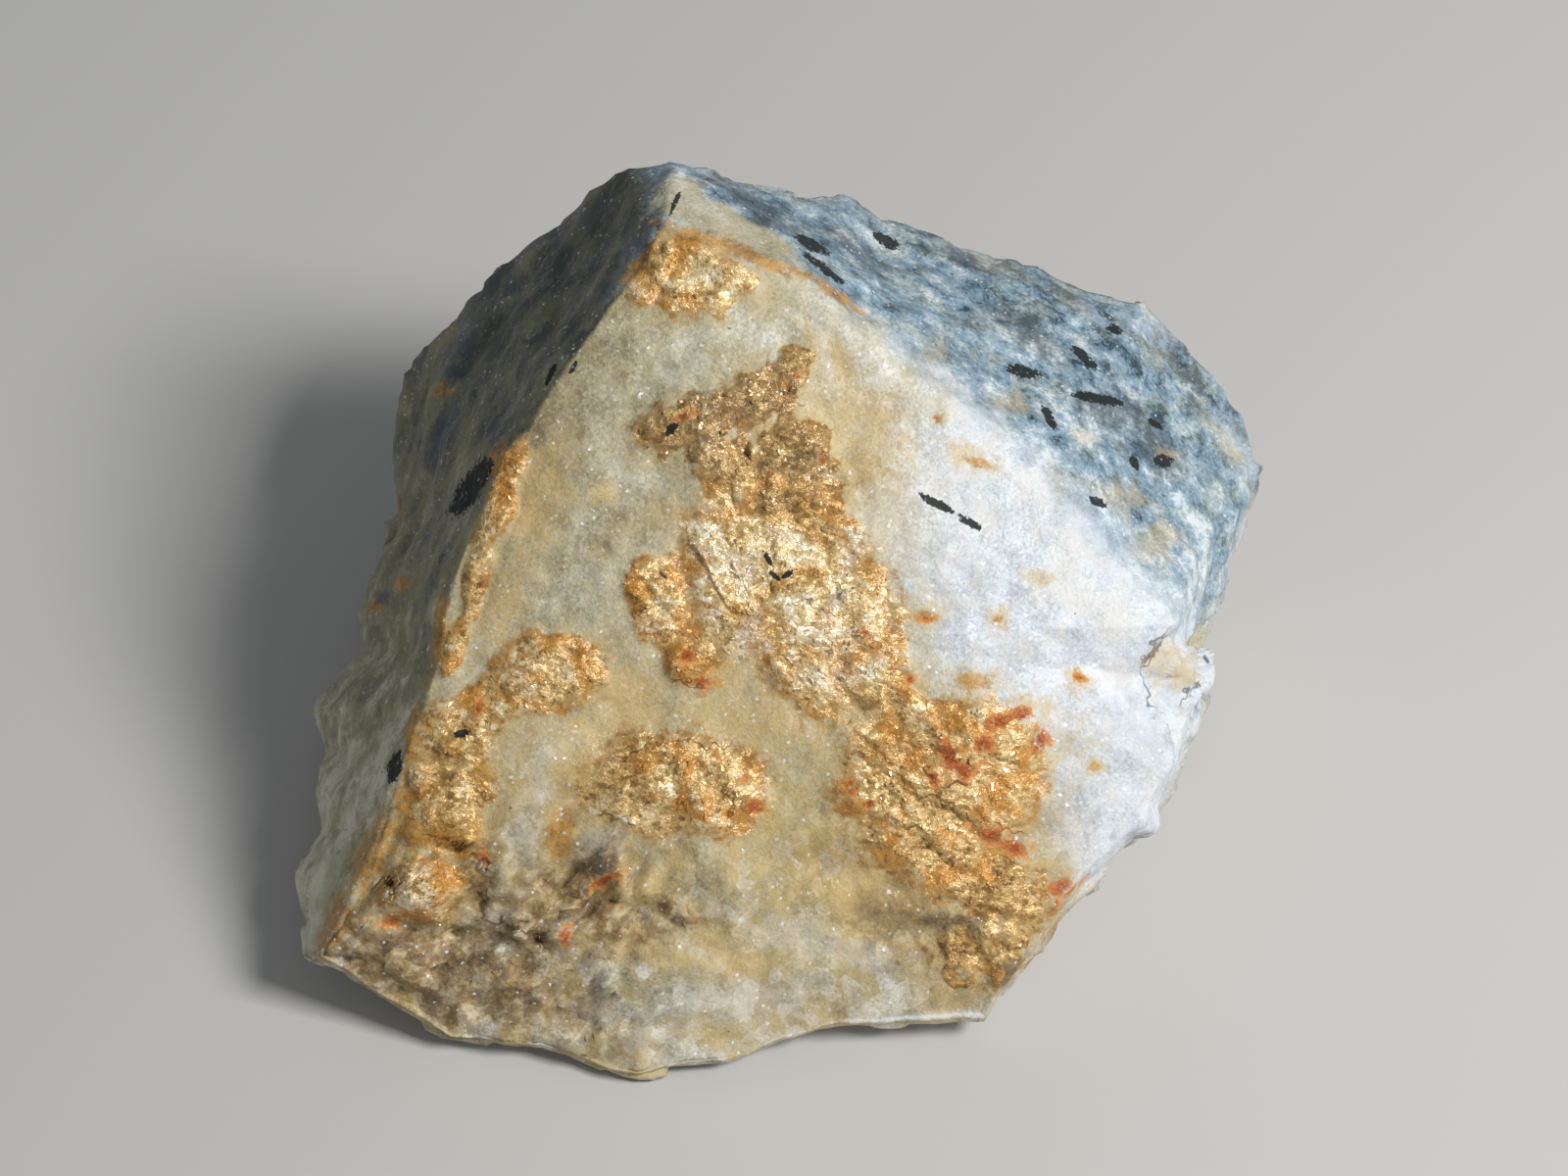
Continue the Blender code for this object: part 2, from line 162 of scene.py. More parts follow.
relief = {
    # pyroaurite crusts on the broad face: across, up, half length, half width, turn, cover, tone
    "crusts": (
        (-6.4, 22.4, 2.8, 1.5, -10.0, 1.0, 0.1),  # apex
        (-8.6, 20.9, 2.2, 1.2, 48.0, 0.95, 0.2),
        (-4.2, 21.4, 3.0, 1.3, -20.0, 0.95, 0.2),
        (-6.0, 19.6, 2.8, 1.6, -10.0, 0.6, 0.2),
        (-7.4, 10.6, 2.6, 1.8, 10.0, 0.8, -1.4),  # upper, a slanting streak
        (-4.2, 11.6, 3.0, 1.9, 20.0, 0.70, -1.6),
        (-1.2, 13.0, 3.0, 1.8, 35.0, 0.65, -1.5),
        (0.8, 14.9, 1.7, 1.1, 50.0, 0.65, -1.0),
        (-3.4, 8.8, 3.4, 1.8, 5.0, 0.45, -1.6),
        (1.4, 9.2, 3.6, 2.4, -30.0, 0.45, -1.4),
        (0.6, 6.2, 4.6, 1.8, -6.0, 0.65, -1.0),
        (0.6, 1.6, 6.6, 4.6, -24.0, 1.0, 0.5),  # main
        (3.2, -1.6, 4.6, 5.2, -14.0, 1.0, 0.45),
        (-4.0, 2.8, 2.4, 3.2, -10.0, 1.0, 0.4),
        (-2.6, -2.0, 3.4, 3.0, -30.0, 1.0, 0.45),
        (1.6, -5.6, 3.4, 2.2, -38.0, 0.95, 0.3),
        (5.6, -5.0, 2.6, 2.4, 0.0, 0.95, 0.3),
        (-8.4, 0.2, 2.1, 1.8, -20.0, 1.0, 0.0),  # nodule
        (-7.8, -1.8, 2.2, 2.0, -30.0, 1.0, 0.3),
        (-6.0, -4.4, 1.6, 1.9, -40.0, 1.0, -0.2),
        (-15.6, -5.8, 4.3, 2.7, 10.0, 1.0, -0.1),  # left, upper and lower
        (-18.8, -7.4, 3.0, 1.9, 40.0, 1.0, 0.0),
        (-21.4, -10.0, 2.8, 2.6, 30.0, 1.0, -0.1),
        (-22.4, -13.8, 3.2, 3.8, -12.0, 1.0, -0.35),
        (-23.9, -20.6, 3.2, 2.4, 10.0, 1.0, 0.05),  # lump
        (-7.2, -13.1, 6.2, 3.8, -8.0, 1.0, -0.1),  # oval
        (-10.2, -13.2, 2.8, 2.6, 0.0, 1.0, 0.0),
        (7.4, -8.0, 4.2, 1.8, -45.0, 0.55, -0.3),  # band from the main to the right
        (10.8, -10.6, 7.2, 3.2, -4.0, 0.97, -0.1),  # right, upper and lower
        (9.6, -14.4, 6.0, 3.2, -14.0, 0.97, -0.2),
        (14.0, -12.6, 3.8, 3.6, -30.0, 0.97, 0.0),
        (12.0, -19.0, 7.8, 2.8, -24.0, 0.80, -0.5),
        (13.4, -25.0, 4.0, 2.6, 15.0, 0.25, -0.6),  # lower right corner
        (-18.8, 6.0, 4.4, 1.0, 72.0, 0.75, -0.2),  # along the left ridge
        (-20.4, 0.4, 3.6, 0.8, 74.0, 0.6, -0.1),
        (-22.0, -4.2, 2.4, 0.9, 76.0, 0.7, 0.0),
    ),
    "crustThickness": 0.26,
    # low forms: the same, and how high
    "forms": (
        (-23.9, -20.6, 3.0, 2.4, 10.0, 2.4),
        (-21.2, -23.8, 3.4, 0.8, -10.0, -1.0),
        (-21.9, -17.6, 2.6, 0.7, -20.0, -0.7),
        (-22.6, -15.6, 2.6, 1.6, 0.0, 0.5),
        (-12.6, -21.2, 3.8, 0.7, 52.0, -0.8),
        (-9.8, -20.4, 2.6, 0.8, 40.0, 0.6),
        (-14.4, -23.6, 1.4, 2.0, 0.0, 0.7),
        (-7.2, -13.1, 6.2, 3.8, -6.0, 0.35),
        (-6.2, -4.6, 1.8, 2.0, -30.0, 0.5),
        (-15.6, -5.8, 4.6, 3.0, 12.0, 0.3),
        (-28.3, -23.2, 2.6, 1.6, 30.0, 0.8),
        (-25.5, -25.0, 2.2, 1.6, 0.0, 0.7),
        (-20.0, -24.2, 2.4, 1.4, -15.0, 0.6),
        (-20.0, -20.6, 0.9, 2.4, -12.0, -1.3),
        (-14.5, -20.0, 3.6, 3.4, 0.0, -0.9),
        (9.5, -23.6, 6.0, 2.2, -6.0, -0.7),
        (2.5, -21.5, 4.5, 2.0, 20.0, 0.5),
        (-9.0, -25.5, 7.0, 2.6, 0.0, 0.5),
        (-10.5, 8.0, 6.0, 7.0, 0.0, 0.4),
        (21.5, -8.5, 3.0, 4.0, 20.0, 0.5),
    ),
    # the same on the sides, and how much it is broken into facets
    "sideForms": (
        (28.0, -6.0, 2.4, 2.6, 0.0, 1.2, 1.3),
        (25.4, -4.6, 0.7, 2.6, -40.0, -1.0, 0.0),
        (25.4, -16.2, 1.6, 1.4, 40.0, 0.8, 0.5),
        (24.6, -13.6, 1.2, 0.9, 0.0, -0.7, 0.0),
    ),
    # noise, each size with its height
    "swell": (10.0, 0.45),
    "beds": ((3.0, 0.55, 0.4), (1.1, 0.20, 5.4)),  # size, height, shift
    "wander": ((8.0, 0.40), (3.4, 0.22)),
    "grit": ((1.5, 0.12), (0.75, 0.05)),
    "crumple": ((3.4, 0.16), (1.5, 0.05)),
    "crumpleWay": -38.0,
    "crumpleSquash": (0.75, 1.15, 1.0),  # along the way, across it, outwards
    "flakes": ((2.6, 0.34), (1.3, 0.12)),
    "rough": ((2.4, 0.50), (1.2, 0.26)),
    "fracture": ((8.0, 1.1), (3.0, 0.34)),  # on the hidden sides
    "chips": ((3.6, 0.75), (1.9, 0.45), (1.1, 0.24)),  # towards the toe
    "toeUp": (-14.0, -21.0),
    "toeAcross": (-5.0, -12.0),
    "toeFewest": 0.25,  # share of the chips left to the right of it
    "melt": 6.0,  # how sharply the crusts stay apart
    "bareDraw": 0.30,  # how far a crust without cover draws in
    "barePatches": 0.9,
    "edgePatches": 0.08,
    "raised": (-0.25, 0.45),  # from and to, by depth into a crust
    "meanThickness": 0.8,  # of the crust thickness
    "roughBy": (-0.2, 0.3),  # by depth into a brown mark
    "knobFacets": 2.6,
    "topSide": (0.45, 0.65),  # by how far it faces up
    "smootherTop": 0.6,
    # noise by strength, size and shift
    "patchy": (1.0, 1.1, 2.0),
    "crustEdge": (0.16, 3.2, 5.0),
    "raisedEdge": (0.15, 2.2, 5.0),
    "unevenThickness": (0.5, 2.6, 9.0),
    "bedsBent": (0.9, 9.0, 7.0),
    "fractureBent": (0.5, 2.0, 9.0),
}

slope = math.radians(broadFace["slope"])
faceAxes = np.array((
    (1.0, 0.0, 0.0),
    (0.0, math.cos(slope), math.sin(slope)),
    (0.0, math.sin(slope), -math.cos(slope)),
))
faceOut = -faceAxes[2]
rng = np.random.RandomState(29)
shuffle = np.tile(rng.permutation(256), 2)
slopes = rng.normal(size=(256, 3))
slopes /= np.linalg.norm(slopes, axis=1)[:, None]


def noiseField(points, size, shift=0.0):
    # gradient noise: in each cell of a lattice, slopes at its 8 corners blended by 6f^5 - 15f^4 + 10f^3.
    # Another shift gives another noise of the same size
    q = points / size + shift
    cell = np.floor(q).astype(int)
    f = q - cell
    fade = f * f * f * (f * (f * 6.0 - 15.0) + 10.0)
    total = np.zeros(points.shape[:-1])
    for corner in np.ndindex(2, 2, 2):
        c = (cell + corner) & 255
        tilt = slopes[shuffle[shuffle[shuffle[c[..., 0]] + c[..., 1]] + c[..., 2]]]
        weight = np.prod(np.where(corner, fade, 1.0 - fade), axis=-1)
        total += weight * np.sum(tilt * (f - corner), axis=-1)
    return 1.7 * total


def noiseBy(values, points):
    # strength x noise, from a strength, a size and a shift
    strength, size, shift = values
    return strength * noiseField(points, size, shift)


def ridgeField(points, size, shift=0.0):
    # sharp crests: 1 - 2 |noise|
    return 1.0 - 2.0 * np.abs(noiseField(points, size, shift))


def flakeField(points, size, shift=0.0):
    # tilted flakes: each point takes the plane of its nearest jittered lattice point, so edges step
    q = points / size + shift
    cell = np.floor(q).astype(int)
    best = np.full(points.shape[:-1], 9.0)
    height = np.zeros(points.shape[:-1])
    for corner in np.ndindex(3, 3, 3):
        c = cell + corner - 1
        k = shuffle[shuffle[shuffle[c[..., 0] & 255] + (c[..., 1] & 255)] + (c[..., 2] & 255)]
        away = q - (c + 0.5 + 0.4 * slopes[k])
        far = np.sum(away * away, axis=-1)
        nearer = far < best
        best = np.where(nearer, far, best)
        height = np.where(nearer, np.sum(away * slopes[(k + 97) & 255], axis=-1), height)
    return height


def smoothStep(low, high, x):
    # 3t^2 - 2t^3, where t goes from 0 at low to 1 at high
    t = np.clip((x - low) / (high - low), 0.0, 1.0)
    return t * t * (3.0 - 2.0 * t)


def reached(name, level):
    # 0 before the levels of that name, 1 beyond them
    return smoothStep(*block["reach"][name], level)


def fromFace(face):
    # across, up and behind the middle of the broad face, turned into the block's own axes
    return face @ faceAxes + broadFace["middle"]


def toFace(points):
    # the other way round
    return (points - np.array(broadFace["middle"])) @ faceAxes.T


def eased(loop, passes):
    # each pass moves a corner half way to the middle of its neighbours
    for _ in range(passes):
        loop = (np.roll(loop, 1, 0) + 2.0 * loop + np.roll(loop, -1, 0)) / 4.0
    return loop


def cornerLoops():
    # rim, shoulder, outline, belt, foot: one point a corner, in the block's own axes
    rim = np.array([row[0] for row in block["corners"]])
    outline = np.array([row[1] for row in block["corners"]])
    numbers = range(len(rim))
    share, proud = np.array([block["ownShoulders"].get(i, block["shoulder"]) for i in numbers]).T
    shoulder = rim + share[:, None] * (outline - rim)
    shoulder[:, 2] -= proud * np.minimum(1.0, (outline - rim)[:, 2] / block["proudDepth"])
    rim, shoulder, outline = (fromFace(loop) for loop in (rim, shoulder, outline))
    foot = eased(outline, block["footPasses"]) * (block["footShare"], block["footShare"], 0.0)
    belt = (eased(outline, block["beltPasses"]) + foot) / 2.0
    outward = belt[:, :2] / np.linalg.norm(belt[:, :2], axis=1)[:, None]
    belt[:, :2] += block["beltBulge"] * outline[:, 2:] * outward
    return [rim, shoulder, outline, belt, foot]


def blockGrid():
    # rings by places round the block. level 0 to 1: centre of the broad face to its rim, flat in the
    # middle and falling away with the third power; 1 to 5: straight from loop to loop; 5 to 6: underside
    loops = cornerLoops()
    spans = np.mean([np.linalg.norm(np.roll(a, -1, 0) - a, axis=1) for a in loops[:3]], axis=0)
    steps = np.maximum(2, np.round(spans / block["spacing"])).astype(int)
    walk = np.concatenate([i + np.arange(n) / n for i, n in enumerate(steps)])
    places = np.arange(len(spans) + 1)
    rings = []
    for loop in loops:
        closed = np.concatenate((loop, loop[:1]))
        rings.append(np.stack([np.interp(walk, places, closed[:, k]) for k in range(3)], -1))
    rings = np.stack(rings)

    n = block["frontRings"]
    inner = ((np.arange(n) + 0.5) / n) ** block["ringPower"]
    rim = toFace(rings[0])
    centre = np.array((*broadFace["centre"], 0.0))
    front = np.empty((n, len(walk), 3))
    front[..., :2] = centre[:2] + inner[:, None, None] * (rim[:, :2] - centre[:2])
    front[..., 2] = rim[:, 2] * inner[:, None] ** 3
    front = fromFace(front)

    levels = [np.array([1.0])]
    levels += [1 + i + (np.arange(n) + 1) / n for i, n in enumerate(block["sideRings"])]
    levels = np.concatenate(levels)
    upper = np.minimum(levels.astype(int) - 1, 3)
    share = (levels - 1 - upper)[:, None, None]
    sides = rings[upper] + share * (rings[upper + 1] - rings[upper])
    # under the outline the wall first goes straight down, and draws in later
    wall = (upper == 2)[:, None, None]
    drawn = rings[2] + share ** block["wallPower"] * (rings[3] - rings[2])
    sides[..., :2] = np.where(wall, drawn, sides)[..., :2]
    hidden = reached("breaks", levels)[:, None, None]
    for direction, distance in block["breaks"]:
        direction = np.array(direction) / np.linalg.norm(direction)
        beyond = np.maximum(sides @ direction - distance, 0.0)[..., None]
        sides = sides - hidden * beyond * direction

    n = block["baseRings"]
    drawIn = 1.0 - (np.arange(n) + 0.7) / n
    base = sides[-1] * drawIn[:, None, None]
    points = np.concatenate((front, sides, base))
    level = np.concatenate((inner, levels, 5.0 + 1.0 - drawIn))
    return points, np.repeat(level[:, None], len(walk), axis=1)


def gridNormals(points, level):
    # square to the broad face on it, and elsewhere the cross product of the steps along and down; each pass
    # blends the rings with their neighbours
    along = np.roll(points, -1, 1) - np.roll(points, 1, 1)
    normals = np.cross(along, np.gradient(points, axis=0))
    normals /= np.maximum(np.linalg.norm(normals, axis=-1, keepdims=True), 1e-9)
    edge = reached("edge", level)[..., None]
    normals = edge * normals + (1.0 - edge) * faceOut
    for _ in range(block["normalPasses"]):
        normals[1:-1] = (normals[:-2] + 2.0 * normals[1:-1] + normals[2:]) / 4.0
    return normals / np.linalg.norm(normals, axis=-1, keepdims=True)


def oval(face, across, up, halfLength, halfWidth, turn):
    # distance from the middle of an oval on the face, 1 at its edge
    angle = math.radians(turn)
    x, y = face[..., 0] - across, face[..., 1] - up
    along = (x * math.cos(angle) + y * math.sin(angle)) / halfLength
    aside = (y * math.cos(angle) - x * math.sin(angle)) / halfWidth
    return np.hypot(along, aside)


def inside(face, shape):
    # 1 in the middle of an oval, easing to 0 just beyond its edge
    return 1.0 - smoothStep(0.2, 1.15, oval(face, *shape))


def ovalsField(face, ovals):
    # 1 in the middle of an oval, 0 at its edge and negative beyond; the highest of them all
    field = np.full(face.shape[:-1], -9.0)
    for shape in ovals:
        field = np.maximum(field, 1.0 - oval(face, *shape))
    return field


# where the colours lie on the block
marks = {
    # edge of the bluish white part of the broad face: (up, across), from the toe to the apex
    "whiteEdge": (
        (-21.0, 19.5), (-12.0, 17.5), (-8.5, 14.5), (-6.5, 10.5),
        (0.0, 8.3), (6.6, 9.8), (13.0, 9.8), (21.0, 6.0),
    ),
    "leftSideAcross": (-7.5, -11.0),  # from and to
    # the same, by how far the stone faces right, forward and up, and as the broad face does
    "facing": {"right": (0.0, 0.4), "forward": (-0.3, -0.6), "upright": (0.35, 0.1), "front": (0.0, 0.3)},
    "stripBy": (-0.1, 0.3),  # by depth into the strip
    "stripEnd": 2.3,  # level
    "tanDrop": 2.0,  # how far the tan field falls where it ends
    # noise that roughens the edges of the marks: strength, size, shift
    "roughened": {
        "softRim": (0.12, 2.0, 3.0),
        "leftSide": (2.0, 4.0, 6.0),
        "white": (1.6, 4.0, 2.0),
        "tanBroken": (0.9, 1.6, 31.0),
        "hidden": (0.4, 5.0, 2.0),
        "strip": (0.2, 1.1, 2.0),
        "brown": (0.35, 2.6, 6.0),
        "quartz": (0.3, 1.4, 8.0),
        "tan": (0.25, 1.8, 4.0),
        "ochre": (0.3, 1.8, 1.0),
    },
    # the rest are ovals: across, up, half length, half width, turn
    "strip": ((-3.2, 24.6, 6.4, 1.2, -25.0), (-7.0, 26.8, 1.8, 1.6, 0.0), (28.0, -6.0, 3.6, 3.4, 0.0)),
    "brown": (
        (-25.2, -25.6, 4.4, 2.4, -24.0),
        (-23.0, -16.9, 3.2, 0.8, -8.0),
        (-18.6, -27.2, 3.0, 1.5, -40.0),
        (-20.4, -19.6, 0.7, 2.6, 24.0),
        (-13.4, -20.6, 4.2, 1.2, 50.0),
        (-11.8, -22.6, 3.0, 1.2, -20.0),
        (-16.6, -23.4, 2.6, 0.9, 0.0),
        (12.6, -22.8, 3.4, 0.8, -12.0),
        (15.6, -26.4, 1.8, 0.9, 30.0),
        (-7.4, -21.6, 2.6, 0.5, -24.0),
    ),
    # pale quartz in the lower part
    "quartz": (
        (5.6, -25.0, 3.8, 0.9, -8.0),
        (-12.6, -29.0, 1.9, 1.0, -10.0),
        (-14.6, -23.2, 1.1, 0.9, 0.0),
        (-23.0, -9.6, 1.0, 0.6, 20.0),
        (-9.6, -31.0, 1.4, 0.8, 0.0),
        (-3.5, -28.4, 5.0, 1.6, 6.0),
        (0.5, -23.4, 2.6, 1.2, 0.0),
        (-17.2, -17.0, 1.0, 2.2, 0.0),
        (3.0, 15.8, 0.5, 2.6, 12.0),
        (8.4, 3.8, 3.6, 1.8, -30.0),
        (8.9, -3.9, 0.9, 1.7, 0.0),
        (-15.6, -11.4, 0.7, 0.6, 30.0),
        (-16.2, -13.6, 0.8, 1.4, 10.0),
        (-12.4, -17.4, 1.7, 1.1, 20.0),
        (-18.6, -22.6, 1.0, 0.7, -20.0),
        (-20.2, -26.8, 1.0, 0.9, 0.0),
    ),
    "tan": (
        (10.6, 11.4, 0.7, 0.5, 0.0),
        (13.0, 8.7, 1.8, 0.9, -20.0),
        (5.6, 12.6, 3.0, 1.2, -40.0),
        (5.4, 9.6, 3.2, 4.2, 0.0),
        (2.4, 10.6, 5.4, 3.4, 10.0),
        (3.5, 15.6, 2.2, 1.0, -40.0),
        (9.8, -2.1, 1.0, 0.7, 10.0),
        (14.7, -2.0, 0.8, 0.6, 0.0),
        (13.2, -6.4, 1.8, 0.9, 0.0),
        (16.8, -8.3, 1.2, 0.6, 0.0),
        (17.6, 1.0, 0.9, 0.6, 0.0),
        (20.1, -6.3, 0.9, 1.0, 20.0),
        (21.3, -12.2, 0.7, 0.5, 0.0),
        (8.8, -6.6, 0.9, 0.9, 0.0),
        (-14.0, -13.5, 3.5, 2.2, 60.0),
        (-11.0, -8.5, 3.0, 1.8, 30.0),
        (-12.0, 6.5, 1.2, 0.7, 0.0),
        (-15.2, 6.8, 1.0, 0.6, 0.0),
        (-16.6, 5.6, 2.0, 3.6, -14.0),
        (-18.8, -0.6, 1.8, 3.4, -14.0),
        (-2.4, -8.8, 4.0, 1.6, -10.0),
        (-9.0, -24.5, 3.0, 1.2, -20.0),
        (-2.5, -25.5, 2.2, 1.0, 0.0),
        (6.5, -21.0, 5.0, 2.6, -10.0),
        (12.4, -24.4, 4.4, 2.8, -6.0),
        (-4.8, -4.6, 3.4, 1.6, -30.0),
        (-10.4, -7.2, 3.0, 1.8, -10.0),
        (-14.8, -17.6, 1.2, 3.2, -10.0),
        (-10.5, -20.5, 2.6, 1.2, 20.0),
        (26.8, -5.4, 1.5, 1.3, 0.0),
        (16.0, 12.8, 1.2, 0.7, 0.0),
        (23.5, 6.5, 1.4, 0.8, 0.0),
        (27.0, 9.5, 0.8, 0.6, 0.0),
        (21.5, 10.8, 0.9, 0.5, 0.0),
        (26.0, 3.4, 1.6, 1.0, 20.0),
        (10.2, 16.2, 0.9, 0.6, 0.0),
    ),
    "ochre": (
        (-5.6, -5.4, 1.6, 1.2, -20.0),
        (-9.4, -0.6, 0.9, 1.2, 0.0),
        (-3.0, 22.9, 5.6, 0.5, -21.0),
        (-8.9, 22.6, 2.8, 0.4, 50.0),
        (4.0, 20.0, 2.0, 0.4, -32.0),
        (-27.5, -18.0, 1.1, 2.8, -26.0),
        (-30.1, -22.8, 1.0, 2.2, -20.0),
        (-14.9, -16.6, 0.9, 1.6, -20.0),
        (10.6, 11.3, 0.35, 0.3, 0.0),
        (13.4, 8.4, 0.9, 0.35, -20.0),
        (9.8, -2.1, 0.5, 0.4, 0.0),
        (14.7, -2.0, 0.35, 0.3, 0.0),
        (20.3, -6.1, 0.4, 0.5, 0.0),
        (13.2, -6.3, 1.2, 0.45, 0.0),
        (21.3, -12.2, 0.4, 0.3, 0.0),
        (28.6, -4.2, 0.7, 0.5, 0.0),
        (-13.0, -4.0, 0.8, 0.5, 20.0),
        (-22.8, -16.6, 3.0, 1.2, -10.0),
        (-19.8, -13.0, 0.7, 2.0, 0.0),
        (-18.9, 8.8, 0.8, 1.2, -20.0),
        (-28.0, 4.9, 0.8, 1.8, -5.0),
        (-26.3, 0.4, 0.7, 0.7, 0.0),
        (-28.7, -1.1, 0.6, 0.5, 0.0),
        (-24.4, -9.4, 0.5, 1.6, -14.0),
        (-23.0, -3.0, 0.4, 3.0, -10.0),
        (-23.8, 13.9, 0.5, 0.5, 0.0),
    ),
    "rust": (
        (-6.3, -4.3, 0.6, 0.5, 0.0),
        (-5.2, -6.0, 0.9, 0.5, 0.0),
        (11.3, -11.4, 0.8, 1.6, 20.0),
        (12.3, -12.6, 1.0, 1.0, 0.0),
        (10.4, -13.0, 0.7, 0.6, 0.0),
        (13.7, -10.5, 0.9, 0.8, 0.0),
        (14.8, -9.0, 1.4, 0.6, 10.0),
        (16.3, -8.7, 0.7, 0.7, 0.0),
        (17.6, -10.6, 0.7, 1.0, 0.0),
        (4.7, -13.3, 0.5, 0.6, 0.0),
        (6.0, -14.6, 0.4, 0.4, 0.0),
        (14.2, -16.6, 1.5, 0.7, -10.0),
        (16.0, -17.4, 1.1, 0.7, -20.0),
        (19.0, -20.3, 1.1, 0.7, 20.0),
        (18.5, -21.3, 0.5, 0.3, 0.0),
        (-2.0, -14.6, 0.8, 0.6, 0.0),
        (-2.3, -12.6, 0.4, 0.3, 0.0),
        (-4.4, -10.8, 0.7, 0.3, -40.0),
        (-14.4, -23.6, 0.4, 1.0, 0.0),
        (-11.9, -19.8, 1.3, 0.4, 32.0),
        (-19.8, -18.4, 0.4, 0.8, 20.0),
        (-26.2, -22.6, 0.7, 0.5, 0.0),
        (3.2, 8.6, 0.5, 0.3, 0.0),
        (1.0, 13.8, 0.8, 0.3, 40.0),
        (-6.5, 11.5, 0.7, 0.3, 20.0),
        (8.6, -6.4, 0.3, 0.4, 0.0),
        (20.2, -6.2, 0.4, 0.4, 0.0),
        (10.4, 11.4, 0.3, 0.3, 0.0),
        (9.8, -2.2, 0.5, 0.3, 0.0),
        (5.9, -3.0, 0.5, 0.4, 0.0),
        (-20.2, -8.4, 0.3, 0.6, 0.0),
        (-22.6, 2.2, 0.3, 0.3, 0.0),
    ),
}


def markField(name, face, points):
    # the field of its ovals, with noise added
    return ovalsField(face, marks[name]) + noiseBy(marks["roughened"][name], points)


def roundedRim(points, level):
    # towards the right, each pass moves the rings near the rim to the middle of their neighbours
    middleLevel, halfWidth, fade = block["rimLevels"]
    near = smoothStep(0.0, fade, halfWidth - np.abs(level - middleLevel))
    soft = (near * smoothStep(*block["rimAcross"], toFace(points)[..., 0]))[1:-1, :, None]
    for _ in range(block["rimPasses"]):
        middle = (points[:-2] + 2.0 * points[1:-1] + points[2:]) / 4.0
        points[1:-1] += soft * (middle - points[1:-1])
    return points


def crustField(face, points):
    # The ovals of the crusts melt together: log(sum of exp(melt x each field)) / melt. Noise makes the edge
    # ragged, and a thin cover leaves a crust patchy. The tone is their mean, weighted alike.
    melt = relief["melt"]
    patchy = noiseBy(relief["patchy"], points)
    each = []
    for *shape, cover, tone in relief["crusts"]:
        bare = 1.0 - cover
        drawn = relief["bareDraw"] - relief["barePatches"] * patchy
        each.append(1.0 - oval(face, *shape) - bare * drawn)
    weight = np.exp(melt * np.array(each))
    ragged = relief["edgePatches"] * patchy - noiseBy(relief["crustEdge"], points)
    crust = np.log(weight.sum(0)) / melt + ragged
    tone = np.tensordot([row[-1] for row in relief["crusts"]], weight, 1) / weight.sum(0)
    return crust, tone


def frontHeight(points, face, level, brown):
    # On the broad face: crusts, lumps and grooves, each a smooth rise inside its oval, then the crumpled
    # crusts, the chipped toe and the rough brown hollows as noise, finer and finer.
    crusts = [row[:5] for row in relief["crusts"]]
    onCrust = ovalsField(face, crusts) + noiseBy(relief["raisedEdge"], points)
    onCrust = smoothStep(*relief["raised"], onCrust)
    uneven = relief["meanThickness"] + noiseBy(relief["unevenThickness"], points)
    height = onCrust * relief["crustThickness"] * uneven
    for *shape, rise in relief["forms"]:
        height += rise * inside(face, shape)
    size, rise = relief["swell"]
    height += rise * noiseField(points, size, 3.0)
    turn = math.radians(relief["crumpleWay"])
    along = np.array((math.cos(turn), math.sin(turn), 0.0))
    aside = np.array((-math.sin(turn), math.cos(turn), 0.0))
    turned = np.stack((face @ along, face @ aside, face[..., 2]), -1) * relief["crumpleSquash"]
    for size, rise in relief["crumple"]:
        height += onCrust * rise * ridgeField(turned, size, 4.0)
    for size, rise in relief["flakes"]:
        height += onCrust * rise * flakeField(turned, size, 4.0)
    leftward = smoothStep(*relief["toeAcross"], face[..., 0])
    fewest = relief["toeFewest"]
    toe = smoothStep(*relief["toeUp"], face[..., 1]) * (fewest + (1.0 - fewest) * leftward)
    for size, rise in relief["chips"]:
        height += toe * rise * flakeField(points, size, 11.0)
    onBrown = smoothStep(*relief["roughBy"], brown)
    for size, rise in relief["rough"]:
        height += onBrown * rise * ridgeField(points, size, 13.0)
    return height * (1.0 - reached("offFront", level))


def sideHeight(points, face, level, normals, leftSide):
    # On the sides: knobs, and beds, which are noise along the depth alone, so that they stand out as ledges
    # all round. Below, the hidden sides are broken into tilted flakes.
    knobs = reached("knobs", level) * (1.0 - reached("knobsEnd", level))
    facets = flakeField(points, relief["knobFacets"], 7.0)
    height = np.zeros(level.shape)
    for *shape, rise, broken in relief["sideForms"]:
        height += knobs * (rise + broken * facets) * inside(face, shape)
    topSide = smoothStep(*relief["topSide"], normals[..., 2]) * (1.0 - leftSide)
    bedded = reached("beds", level) * (1.0 - relief["smootherTop"] * topSide)
    depth = face[..., 2:] + noiseBy(relief["bedsBent"], points)[..., None]
    for size, rise, shift in relief["beds"]:
        height += bedded * rise * noiseField(depth * (0.0, 0.0, 1.0), size, shift)
    hidden = reached("fracture", level) * (level < 5.0)
    bent = points + noiseBy(relief["fractureBent"], points)[..., None]
    for size, rise in relief["fracture"]:
        height += hidden * rise * flakeField(bent, size, 2.0)
    return height


def displaced(points, level, normals, height):
    # Out along the normals by the height, and aside by slow noise. Nothing dips under the table, and the
    # underside is hollowed a little.
    shift = height[..., None] * normals
    for size, rise in relief["wander"]:
        for axis in range(3):
            shift[..., axis] += rise * noiseField(points, size, 11.0 + 4.0 * axis)
    moved = points + shift
    clear = np.maximum(moved[..., 2], block["clearOfTable"])
    hollow = block["hollowBelow"] * (1.0 + noiseBy(block["hollowNoise"], points)) * reached("hollow", level)
    moved[..., 2] = np.where(level < 5.0, clear, hollow)
    return moved


